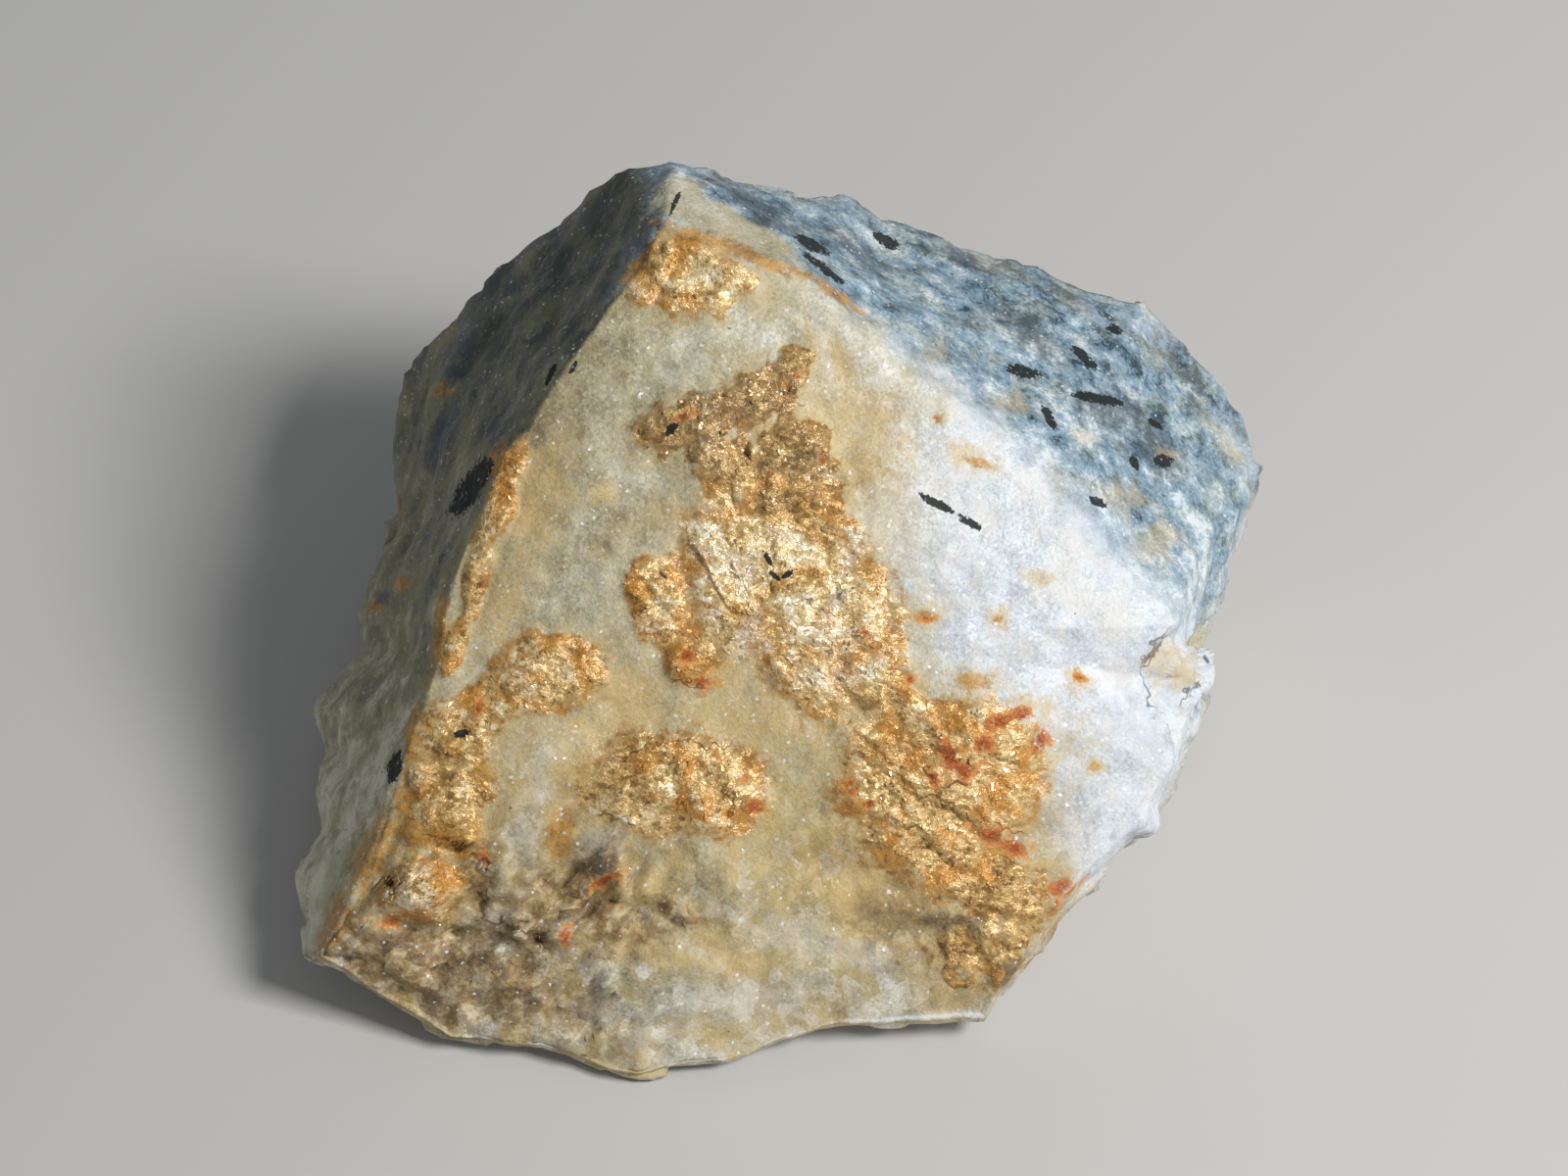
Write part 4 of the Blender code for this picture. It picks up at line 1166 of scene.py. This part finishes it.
stoneFinish = {
    # colours from dark to light, each at its place from 0 to 1
    "cream": ((0.05, (0.29, 0.24, 0.135)), (0.28, (0.41, 0.37, 0.25)), (0.50, (0.52, 0.48, 0.35)),
              (0.72, (0.62, 0.59, 0.47)), (0.97, (0.80, 0.79, 0.72))),
    "white": ((0.03, (0.42, 0.44, 0.44)), (0.25, (0.55, 0.60, 0.64)), (0.50, (0.64, 0.70, 0.76)),
              (0.78, (0.78, 0.83, 0.88)), (1.00, (0.94, 0.97, 1.00))),
    "topSide": ((0.02, (0.03, 0.06, 0.085)), (0.22, (0.13, 0.21, 0.275)), (0.48, (0.235, 0.35, 0.44)),
                (0.74, (0.38, 0.49, 0.56)), (0.98, (0.68, 0.77, 0.83))),
    "paleSide": ((0.10, (0.14, 0.175, 0.155)), (0.50, (0.38, 0.43, 0.40)), (0.95, (0.82, 0.85, 0.82))),
    # grey-green, and darker than the marble itself: painted shade of the side away from the lamp
    "leftSide": ((0.02, (0.055, 0.065, 0.07)), (0.26, (0.175, 0.178, 0.135)), (0.50, (0.29, 0.28, 0.175)),
                 (0.75, (0.46, 0.435, 0.28)), (1.00, (0.76, 0.73, 0.56))),
    "brown": ((0.06, (0.065, 0.034, 0.011)), (0.34, (0.165, 0.092, 0.026)), (0.62, (0.35, 0.22, 0.075)),
              (0.95, (0.64, 0.53, 0.33))),
    "rust": ((0.15, (0.21, 0.028, 0.006)), (0.50, (0.44, 0.095, 0.016)), (0.90, (0.68, 0.33, 0.09))),
    "ochre": ((0.15, (0.20, 0.08, 0.01)), (0.45, (0.46, 0.22, 0.03)), (0.85, (0.68, 0.40, 0.11))),
    "moss": (0.24, 0.23, 0.10, 1.0),
    "warm": (0.52, 0.42, 0.20, 1.0),
    "umber": (0.26, 0.18, 0.07, 1.0),
    "stain": (0.55, 0.415, 0.165, 1.0),
    "tan": (0.61, 0.44, 0.185, 1.0),
    "quartz": (0.73, 0.72, 0.66, 1.0),
    "bloom": (0.75, 0.735, 0.70, 1.0),
    "vein": (0.22, 0.125, 0.055, 1.0),
    "crackAndShadeLine": (0.04, 0.022, 0.010, 1.0),
    "black": (0.006, 0.011, 0.012, 1.0),
    "slate": (0.06, 0.085, 0.11, 1.0),
    # painted glint: near-white laid on the crystals that catch the light
    "glint": (0.97, 0.97, 0.96, 1.0),
    # weights of what makes each colour lighter and darker
    "mix": {
        "cream": {"cloud": 1.4, "mottle": 0.4, "speck": 0.25, "sugar": 0.20},
        "white": {"cloud": 0.9, "mottle": 0.8, "speck": 0.35, "crystal": 0.16, "sugar": 0.25},
        "side": {"beds": 1.2, "cloud": 1.3, "mottle": 1.5, "speck": 0.55, "sugar": 0.26, "crystal": 0.26},
        "leftSide": {"bands": 1.8, "mottle": 1.0, "speck": 0.6, "crystal": 0.22},
        "brown": {"mottle": 1.9, "speck": 0.6, "otherCrystal": 0.55},
        "ochre": {"mottle": 1.8, "speck": 0.6},
        "rust": {"speck": 1.6},
    },
    # drift of a colour with place or depth: from where, and how much lighter for each unit above it
    "drift": {
        "sideAcross": (19.0, -0.013),
        "sideUp": (13.0, -0.020),
        "leftUp": (1.0, -0.024),
        "rustDepth": (0.5, -0.6),
    },
    "lighterFrom": -4.0,  # across, for the ramp lighterUp
    # edges of the masks: strength of the noise, softness
    "edges": {
        "white": (4.0, 3.0),
        "tan": (3.2, 0.8),
        "quartz": (3.2, 0.4),
        "brown": (2.4, 0.6),
        "crust": (0.8, 0.13),
        "ochre": (2.6, 0.4),
        "rust": (6.0, 0.35),
    },
    # how much of what lies below is covered
    "cover": {
        "umber": 0.62, "plain": 0.4, "hidden": 0.6, "slate": 0.7, "halo": 0.56, "quartz": 0.40, "brown": 0.80,
        "recess": 0.45, "vein": 0.45, "rim": 0.5, "crackAndShadeLine": 0.65, "dot": 0.8, "black": 0.96, "glint": 0.75,
    },
    # noises: size, detail, roughness
    "noises": {
        "edges": (0.8, 4.0, 0.7),
        "cloud": (4.5, 3.0, 0.6),
        "mottle": (1.3, 4.0, 0.65),
        "speck": (0.30, 2.0, 0.7),
        "warm": (2.8, 3.0, 0.6),
        "beds": (2.0, 4.0, 0.65),
        "bands": (3.0, 4.0, 0.6),
        "vein": (3.2, 3.0, 0.55),
    },
    # what the coordinates of some are multiplied by: under 1 draws the noise out
    "drawnOut": {"warm": (0.8, 1.0, 1.0), "beds": (0.5, 0.5, 1.0), "bands": (0.55, 0.55, 1.0)},
    # from and to, with the values there where they aren't 0 and 1
    "ramps": {
        # by the place on the face
        "lighterUp": (-6.0, 10.0, 0.0, 0.030),
        "lighterToe": (-20.0, -29.0, 0.0, 0.28),
        "toe": (-13.0, -20.0),
        "wash": (-1.0, -16.0),
        "umberAcross": (-11.0, -17.0),
        "recessUp": (-9.0, -17.0),
        # by noise or cell
        "brokenToe": (0.0, 1.0, 0.12, 0.60),
        "warm": (0.46, 0.66, 0.0, 0.5),
        "bloom": (0.46, 0.66, 0.0, 0.7),
        "pale": (0.44, 0.60, 0.0, 0.60),
        "moss": (0.40, 0.66, 0.0, 0.5),
        "seep": (0.50, 0.62, 0.0, 0.40),
        "washCrystals": (0.25, 0.75, 0.40, 0.85),
        "washClouds": (0.36, 0.56),
        "umberMottle": (0.60, 0.42),
        "haloMottle": (0.34, 0.60),
        "ochreSpecks": (0.36, 0.50, 0.35, 0.9),
        "rustSpecks": (0.36, 0.50, 0.45, 1.0),
        "gloss": (0.3, 0.7, 0.42, 0.68),
        "vein": (0.045, 0.0),
        # by the distance to a cloud, crack, grain or dot
        "slate": (1.7, 0.3),
        "crackAndShadeLine": (1.2, 0.5),
        "black": (1.08, 0.94),
        "dot": (0.06, 0.03),
        # by a field of the mesh: depth into a crust, its tone, height of the relief, and so on
        "halo": (-0.9, 0.05),
        "rim": (0.24, 0.0),
        "crustRelief": (-0.2, 0.5),
        "crustSheen": (0.1, 0.5, 0.0, 0.7),
        "paleOrange": (0.5, 0.0, 0.6, 0.95),
        "darkOrange": (-1.1, -0.4, 0.35, 1.0),
        "thinCrust": (-1.5, -0.7, 0.7, 1.0),
        # painted shade where the relief is low
        "recess": (0.25, -0.45),
        "nearBrown": (-2.8, 0.0),
        "tanSide": (0.0, 1.0, 0.70, 0.36),
    },
    # strength of the noise that roughens the clouds and grains and bends the cracks
    "wobble": {"slate": 2.4, "black": 1.2, "crackAndShadeLine": 2.0},
    "crackBend": {"Scale": 1.2, "Detail": 1.0},
    "grain": (5.5, 0.22),  # crystals to a millimetre, tilt
    "crystalScale": 0.85,  # to a millimetre
    "dotScale": 0.55,
    "dotChance": 0.75,  # a dot in each cell whose value is above it
    "roughness": {"crust": 0.30, "glint": 0.15, "dull": 0.85},
    "bump": {"speck": 0.05, "mottle": 0.16, "strength": 0.9},
    # black grains: across, up, turn, half length, half width
    "blackGrains": (
        (-14.2, 14.9, 60.0, 0.5, 0.15),
        (10.3, 5.7, -28.0, 1.2, 0.3),
        (12.6, 4.4, -30.0, 0.9, 0.3),
        (-1.1, 2.0, -60.0, 0.6, 0.20),
        (0.2, 0.9, 35.0, 0.55, 0.22),
        (-0.6, 0.8, -40.0, 0.5, 0.16),
        (-7.6, 10.7, 40.0, 0.6, 0.3),
        (-21.7, -9.8, 10.0, 0.55, 0.25),
        (16.6, 15.0, -12.0, 1.3, 0.42),
        (21.9, 13.2, -8.0, 1.9, 0.35),
        (18.2, 11.8, -65.0, 1.0, 0.33),
        (21.1, 16.2, -45.0, 1.3, 0.35),
        (23.5, 18.4, -20.0, 0.6, 0.35),
        (26.6, 8.9, 0.0, 0.7, 0.5),
        (21.4, 5.9, -20.0, 0.7, 0.33),
        (24.4, 8.7, -60.0, 0.5, 0.3),
        (26.2, 11.6, -30.0, 0.6, 0.25),
        (29.3, -5.0, -60.0, 0.35, 0.12),
        (7.2, 24.5, -30.0, 1.0, 0.45),
        (1.9, 23.6, -25.0, 1.3, 0.5),
        (2.6, 21.9, -38.0, 1.8, 0.3),
        (-21.4, 6.9, 53.0, 2.4, 0.9),
        (-26.4, -12.2, 80.0, 1.1, 0.5),
        (-15.8, 14.4, 65.0, 0.9, 0.2),
        (-7.4, 26.2, 70.0, 0.9, 0.16),
    ),
    # slate-blue clouds in the sides: the same
    "slateClouds": (
        (12.8, 23.4, -30.0, 1.4, 0.7),
        (22.8, 12.6, -10.0, 2.6, 1.3),
        (26.0, 9.6, -40.0, 2.2, 1.5),
        (-1.6, 26.2, -28.0, 4.5, 0.9),
        (5.0, 23.4, -35.0, 3.0, 0.8),
        (-19.4, 21.2, 50.0, 0.9, 0.6),
        (-22.4, 18.1, 50.0, 2.4, 1.1),
        (-23.5, 15.4, 50.0, 0.8, 0.7),
        (-24.3, 10.6, 60.0, 2.2, 0.8),
        (-28.1, -0.7, 0.0, 0.7, 0.45),
        (17.0, 18.0, -40.0, 3.0, 0.8),
    ),
    # hairline cracks and, round the right lump, painted shade lines: from and to, across and up, and half
    # width
    "cracksAndShadeLines": (
        ((-2.8, 1.1), (-1.2, 1.9), 0.09),
        ((0.1, 0.5), (0.8, -1.0), 0.12),
        ((0.7, -0.9), (2.8, -1.1), 0.10),
        ((2.6, -1.1), (3.6, -2.2), 0.10),
        ((3.4, 0.6), (3.8, -1.2), 0.09),
        ((2.7, -3.6), (3.5, -4.7), 0.12),
        ((-11.9, -11.6), (-7.8, -10.0), 0.14),
        ((-8.0, -10.0), (-3.2, -10.9), 0.12),
        ((-12.4, -15.4), (-9.0, -15.9), 0.14),
        ((-20.9, -17.6), (-19.8, -20.0), 0.22),
        ((-19.8, -20.0), (-20.8, -22.6), 0.22),
        ((-20.8, -22.4), (-16.2, -23.4), 0.20),
        ((-24.5, -16.8), (-21.0, -17.6), 0.12),
        ((-21.5, -13.0), (-19.5, -14.6), 0.10),
        ((9.0, -11.8), (10.6, -13.4), 0.12),
        ((10.6, -13.2), (12.4, -13.4), 0.16),
        ((8.6, -14.2), (10.2, -13.9), 0.16),
        ((7.2, -15.8), (9.6, -16.6), 0.12),
        ((13.0, -14.8), (16.5, -17.2), 0.10),
        ((-7.4, -6.2), (-5.0, -6.9), 0.10),
        ((-18.5, -5.2), (-15.2, -3.8), 0.09),
        ((-1.6, 11.6), (1.4, 12.6), 0.09),
        # the last three run round the right lump: painted shade lines where its step stands out
        ((26.2, -2.8), (24.4, -5.6), 0.18),
        ((24.4, -5.4), (25.6, -8.8), 0.14),
        ((27.0, -8.2), (28.8, -6.2), 0.12),
    ),
}


def stoneMaterial(groups):
    # One colour is laid over another: the marble, the sides, stains, crusts, rust, cracks and black grains.
    finish, cover, drift = stoneFinish, stoneFinish["cover"], stoneFinish["drift"]
    material, tree, shader = newMaterial("marbleAndCrust")
    coords = faceCoords(tree)
    across, up = put(tree, "ShaderNodeSeparateXYZ", {0: coords}).outputs[:2]
    names = ("side", "leftSide", "shown", "hidden", "crust", "tone", "crease")
    side, leftSide, shown, hidden, depth, tone, crease = (field(tree, name) for name in names)

    sources = {}
    for name, values in finish["noises"].items():
        drawnOut = coords
        if name in finish["drawnOut"]:
            drawnOut = vector(tree, "MULTIPLY", {0: coords, 1: finish["drawnOut"][name]})
        sources[name] = noise(tree, drawnOut, *values)
    size, tilt = finish["grain"]
    sugar = groupNode(tree, groups["grain"], {"Coords": coords, "Scale": size, "Tilt": tilt})
    crystals = split(tree, cells(tree, coords, finish["crystalScale"])["Color"])
    sources.update(sugar=sugar["Shade"], crystal=crystals[0], otherCrystal=crystals[2])
    warm, cloud, mottle, speck = (sources[name] for name in ("warm", "cloud", "mottle", "speck"))

    def mixed(name, *more):
        # the noises of a colour by their weights, and more terms
        terms = [(sources[source], 0.5, weight) for source, weight in finish["mix"][name].items()]
        return added(tree, *terms, *more)

    def mask(name):
        # a field of the mesh, cut with a ragged edge
        inputs = {"Field": field(tree, name), "Noise": sources["edges"]}
        inputs["Wobble"], inputs["Softness"] = finish["edges"][name]
        return groupNode(tree, groups["ragged"], inputs)["Mask"]

    def by(value, name):
        return ramp(tree, value, *finish["ramps"][name])

    def times(first, *others):
        for other in others:
            first = calc(tree, "MULTIPLY", first, other)
        return first

    def plus(a, b):
        return calc(tree, "ADD", a, b)

    def minus(a, b):
        return calc(tree, "SUBTRACT", a, b)

    # the broad face: cream marble, warmer towards the toe, bluish white to the right
    front = minus(1.0, side)
    lighter = plus(times(minus(across, finish["lighterFrom"]), by(up, "lighterUp")), by(up, "lighterToe"))
    toe = by(up, "toe")
    broken = times(minus(crystals[0], 0.5), by(toe, "brokenToe"))
    cream = tones(tree, mixed("cream", (lighter, 0.0, 1.0), (broken, 0.0, 1.0)), finish["cream"])
    cream = blend(tree, by(warm, "warm"), cream, finish["warm"])
    wash = times(by(up, "wash"), by(crystals[1], "washCrystals"), by(cloud, "washClouds"))
    cream = blend(tree, wash, cream, finish["stain"])
    umber = times(toe, by(across, "umberAcross"), by(mottle, "umberMottle"), cover["umber"])
    cream = blend(tree, umber, cream, finish["umber"])
    white = tones(tree, mixed("white"), finish["white"])
    white = blend(tree, by(warm, "bloom"), white, finish["bloom"])
    colour = blend(tree, mask("white"), cream, white)

    # the sides: mottled along the beds, blue-grey on top and grey-green to the left, where the colours are
    # also kept darker as painted shade of the side away from the lamp
    shade = mixed("side", (across, *drift["sideAcross"]), (up, *drift["sideUp"]))
    pale = tones(tree, shade, finish["paleSide"])
    top = blend(tree, by(warm, "pale"), tones(tree, shade, finish["topSide"]), pale)
    left = tones(tree, mixed("leftSide", (up, *drift["leftUp"])), finish["leftSide"])
    left = blend(tree, by(warm, "moss"), left, finish["moss"])
    colour = blend(tree, side, colour, blend(tree, leftSide, top, left))
    plain = blend(tree, cover["plain"], cream, white)
    colour = blend(tree, times(hidden, cover["hidden"]), colour, plain)
    colour = blend(tree, times(hidden, by(warm, "seep")), colour, finish["stain"])
    rough = times(minus(mottle, 0.5), finish["wobble"]["slate"])
    far = plus(nearest(tree, coords, finish["slateClouds"]), rough)
    colour = blend(tree, times(by(far, "slate"), shown, cover["slate"]), colour, finish["slate"])

    # stains round the crusts, pale quartz, brown hollows and veins, and painted shade: brown laid in the low
    # places of the relief towards the toe
    halo = times(by(depth, "halo"), by(mottle, "haloMottle"), front, cover["halo"])
    colour = blend(tree, halo, colour, finish["stain"])
    colour = blend(tree, times(mask("tan"), shown, by(side, "tanSide")), colour, finish["tan"])
    colour = blend(tree, times(mask("quartz"), front, cover["quartz"]), colour, finish["quartz"])
    brown = tones(tree, mixed("brown"), finish["brown"])
    colour = blend(tree, times(mask("brown"), front, cover["brown"]), colour, brown)
    # painted shade: brown laid where the relief is low, towards the toe
    recess = times(by(crease, "recess"), by(up, "recessUp"), front, cover["recess"])
    colour = blend(tree, recess, colour, brown)
    vein = by(calc(tree, "ABSOLUTE", minus(sources["vein"], 0.5)), "vein")
    near = times(by(field(tree, "brown"), "nearBrown"), front)
    colour = blend(tree, times(vein, near, cover["vein"]), colour, finish["vein"])

    # the crusts with a darker rim, ochre edges and rust
    crust = times(mask("crust"), front)
    inputs = {
        "Coords": coords,
        # Tone takes painted shade from the relief, darker low and lighter high; Sheen is a painted highlight
        "Tone": plus(times(tone, goldFinish["byTone"]), times(crease, goldFinish["byCrease"])),
        "Sheen": by(tone, "crustSheen"),
        "Orange": times(by(tone, "paleOrange"), by(tone, "darkOrange")),
    }
    gold = groupNode(tree, groups["gold"], inputs)
    thick = times(crust, by(tone, "thinCrust"))
    colour = blend(tree, thick, colour, gold["Color"])
    colour = blend(tree, times(thick, by(depth, "rim"), cover["rim"]), colour, goldFinish["rim"])
    ochre = times(mask("ochre"), shown, by(speck, "ochreSpecks"))
    colour = blend(tree, ochre, colour, tones(tree, mixed("ochre"), finish["ochre"]))
    rusty = times(mask("rust"), front, by(speck, "rustSpecks"))
    rust = tones(tree, mixed("rust", (field(tree, "rust"), *drift["rustDepth"])), finish["rust"])
    colour = blend(tree, rusty, colour, rust)

    # wandering hairline cracks with painted shade lines round the right lump, black grains, and a round black
    # dot in one large cell of four
    bend = put(tree, "ShaderNodeTexNoise", {"Vector": coords, **finish["crackBend"]}).outputs["Color"]
    bent = pushed(tree, coords, bend, finish["wobble"]["crackAndShadeLine"])
    crackAndShadeLine = times(by(nearest(tree, bent, betweenPoints(finish["cracksAndShadeLines"])), "crackAndShadeLine"), front)
    colour = blend(tree, times(crackAndShadeLine, cover["crackAndShadeLine"]), colour, finish["crackAndShadeLine"])
    rough = times(minus(plus(sources["edges"], speck), 1.0), finish["wobble"]["black"])
    black = by(plus(nearest(tree, coords, finish["blackGrains"]), rough), "black")
    dots = cells(tree, coords, finish["dotScale"])
    chosen = calc(tree, "GREATER_THAN", split(tree, dots["Color"])[0], finish["dotChance"])
    dot = times(by(dots["Distance"], "dot"), chosen, cover["dot"])
    black = calc(tree, "MAXIMUM", times(black, shown), dot)
    colour = blend(tree, times(black, cover["black"]), colour, finish["black"])
    dull = calc(tree, "MAXIMUM", calc(tree, "MAXIMUM", black, rusty), crackAndShadeLine)

    # crystals that catch the light are painted white: painted glints
    glint = times(sugar["Glint"], minus(1.0, crust), cover["glint"])
    colour = blend(tree, glint, colour, finish["glint"])
    roughness, bump = finish["roughness"], finish["bump"]
    gloss = between(tree, crust, by(mottle, "gloss"), roughness["crust"])
    gloss = between(tree, sugar["Glint"], gloss, roughness["glint"])
    gloss = between(tree, dull, gloss, roughness["dull"])
    soft = times(by(depth, "crustRelief"), front)
    fine = plus(times(speck, bump["speck"]), times(mottle, bump["mottle"]))
    inputs = {
        "Strength": bump["strength"],
        "Distance": mm,
        "Height": plus(fine, times(gold["Relief"], soft)),
        "Normal": blend(tree, crust, sugar["Normal"], gold["Normal"]),
    }
    tree.links.new(colour, shader["Base Color"])
    tree.links.new(times(crust, goldFinish["metallic"]), shader["Metallic"])
    tree.links.new(gloss, shader["Roughness"])
    tree.links.new(put(tree, "ShaderNodeBump", inputs).outputs[0], shader["Normal"])
    return material


print("stone: surface")
vertices, faces, fields = stoneSurface()
vertices = fitToBox(vertices)
stone = meshPiece("stoneSurface", vertices, faces, fields)
print("stone:", len(faces), "faces")
groups = {"ragged": makeRagged(), "grain": makeGrain(), "gold": makeGold()}
stone.data.materials.append(stoneMaterial(groups))
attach(stone, "root")
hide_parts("stone")

print("stone: scales")
corners, plates, shades = goldScales(vertices, fields)
leaf = meshPiece("goldScales", corners, plates, shades)
leaf.data.materials.append(scalesMaterial(groups))
leaf.data.shade_flat()
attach(leaf, "root")

studio = {
    "floor": {"Base Color": (0.60, 0.59, 0.57, 1.0), "Roughness": 0.9},
    "floorHalf": 1500.0,
    "viewUp": 50.0,  # degrees above the horizon
    "viewFar": 330.0,
    "viewWide": 105.6,  # width of the view at the broad face
    "viewDepth": (10.0, 10000.0),
    "sensor": 36.0,
    "world": ((0.9, 0.95, 1.0, 1.0), 0.22),  # colour, strength
    "lamps": {  # direction from the block, distance, size, watts, colour
        "keyLamp": ((0.60, -0.28, 0.75), 500.0, 140.0, 2.2, (1.0, 0.99, 0.97)),
    },
}


def flatFloor():
    # a square at the height of the table
    half = studio["floorHalf"] * mm
    corners = [(-half, -half, 0.0), (half, -half, 0.0), (half, half, 0.0), (-half, half, 0.0)]
    mesh = bpy.data.meshes.new("floor")
    mesh.from_pydata(corners, [], [(0, 1, 2, 3)])
    floor = bpy.data.objects.new("floor", mesh)
    bpy.context.scene.collection.objects.link(floor)
    paint, _, shader = newMaterial("floorPaint")
    for key, value in studio["floor"].items():
        shader[key].default_value = value
    mesh.materials.append(paint)
    return floor


def softLamp(name, direction, far, size, watts, colour):
    # a square lamp turned to the origin
    lamp = bpy.data.lights.new(name, "AREA")
    lamp.shape = "SQUARE"
    lamp.size = size * mm
    lamp.energy = watts
    lamp.color = colour
    holder = bpy.data.objects.new(name, lamp)
    away = np.array(direction) / np.linalg.norm(direction) * far * mm
    holder.location = away
    holder.rotation_mode = "QUATERNION"
    holder.rotation_quaternion = (-Vector(away)).to_track_quat("-Z", "Y")
    bpy.context.scene.collection.objects.link(holder)


def studioCamera():
    # from the front and above, with the middle of the broad face in the middle of the view
    lens = bpy.data.cameras.new("camera")
    lens.sensor_width = studio["sensor"]
    lens.lens = studio["sensor"] * studio["viewFar"] / studio["viewWide"]
    lens.clip_start, lens.clip_end = np.array(studio["viewDepth"]) * mm
    camera = bpy.data.objects.new("camera", lens)
    up = math.radians(studio["viewUp"])
    back = np.array((0.0, -math.cos(up), math.sin(up)))
    camera.location = (np.array(broadFace["middle"]) + back * studio["viewFar"]) * mm
    camera.rotation_euler = (math.pi / 2.0 - up, 0.0, 0.0)
    bpy.context.scene.collection.objects.link(camera)
    bpy.context.scene.camera = camera


print("studio")
flatFloor()
for name, values in studio["lamps"].items():
    softLamp(name, *values)
studioCamera()
world = bpy.data.worlds.new("studioWorld")
world.use_nodes = True
for socket, value in zip(world.node_tree.nodes["Background"].inputs, studio["world"]):
    socket.default_value = value
bpy.context.scene.world = world
bpy.context.scene.view_settings.view_transform = "Standard"
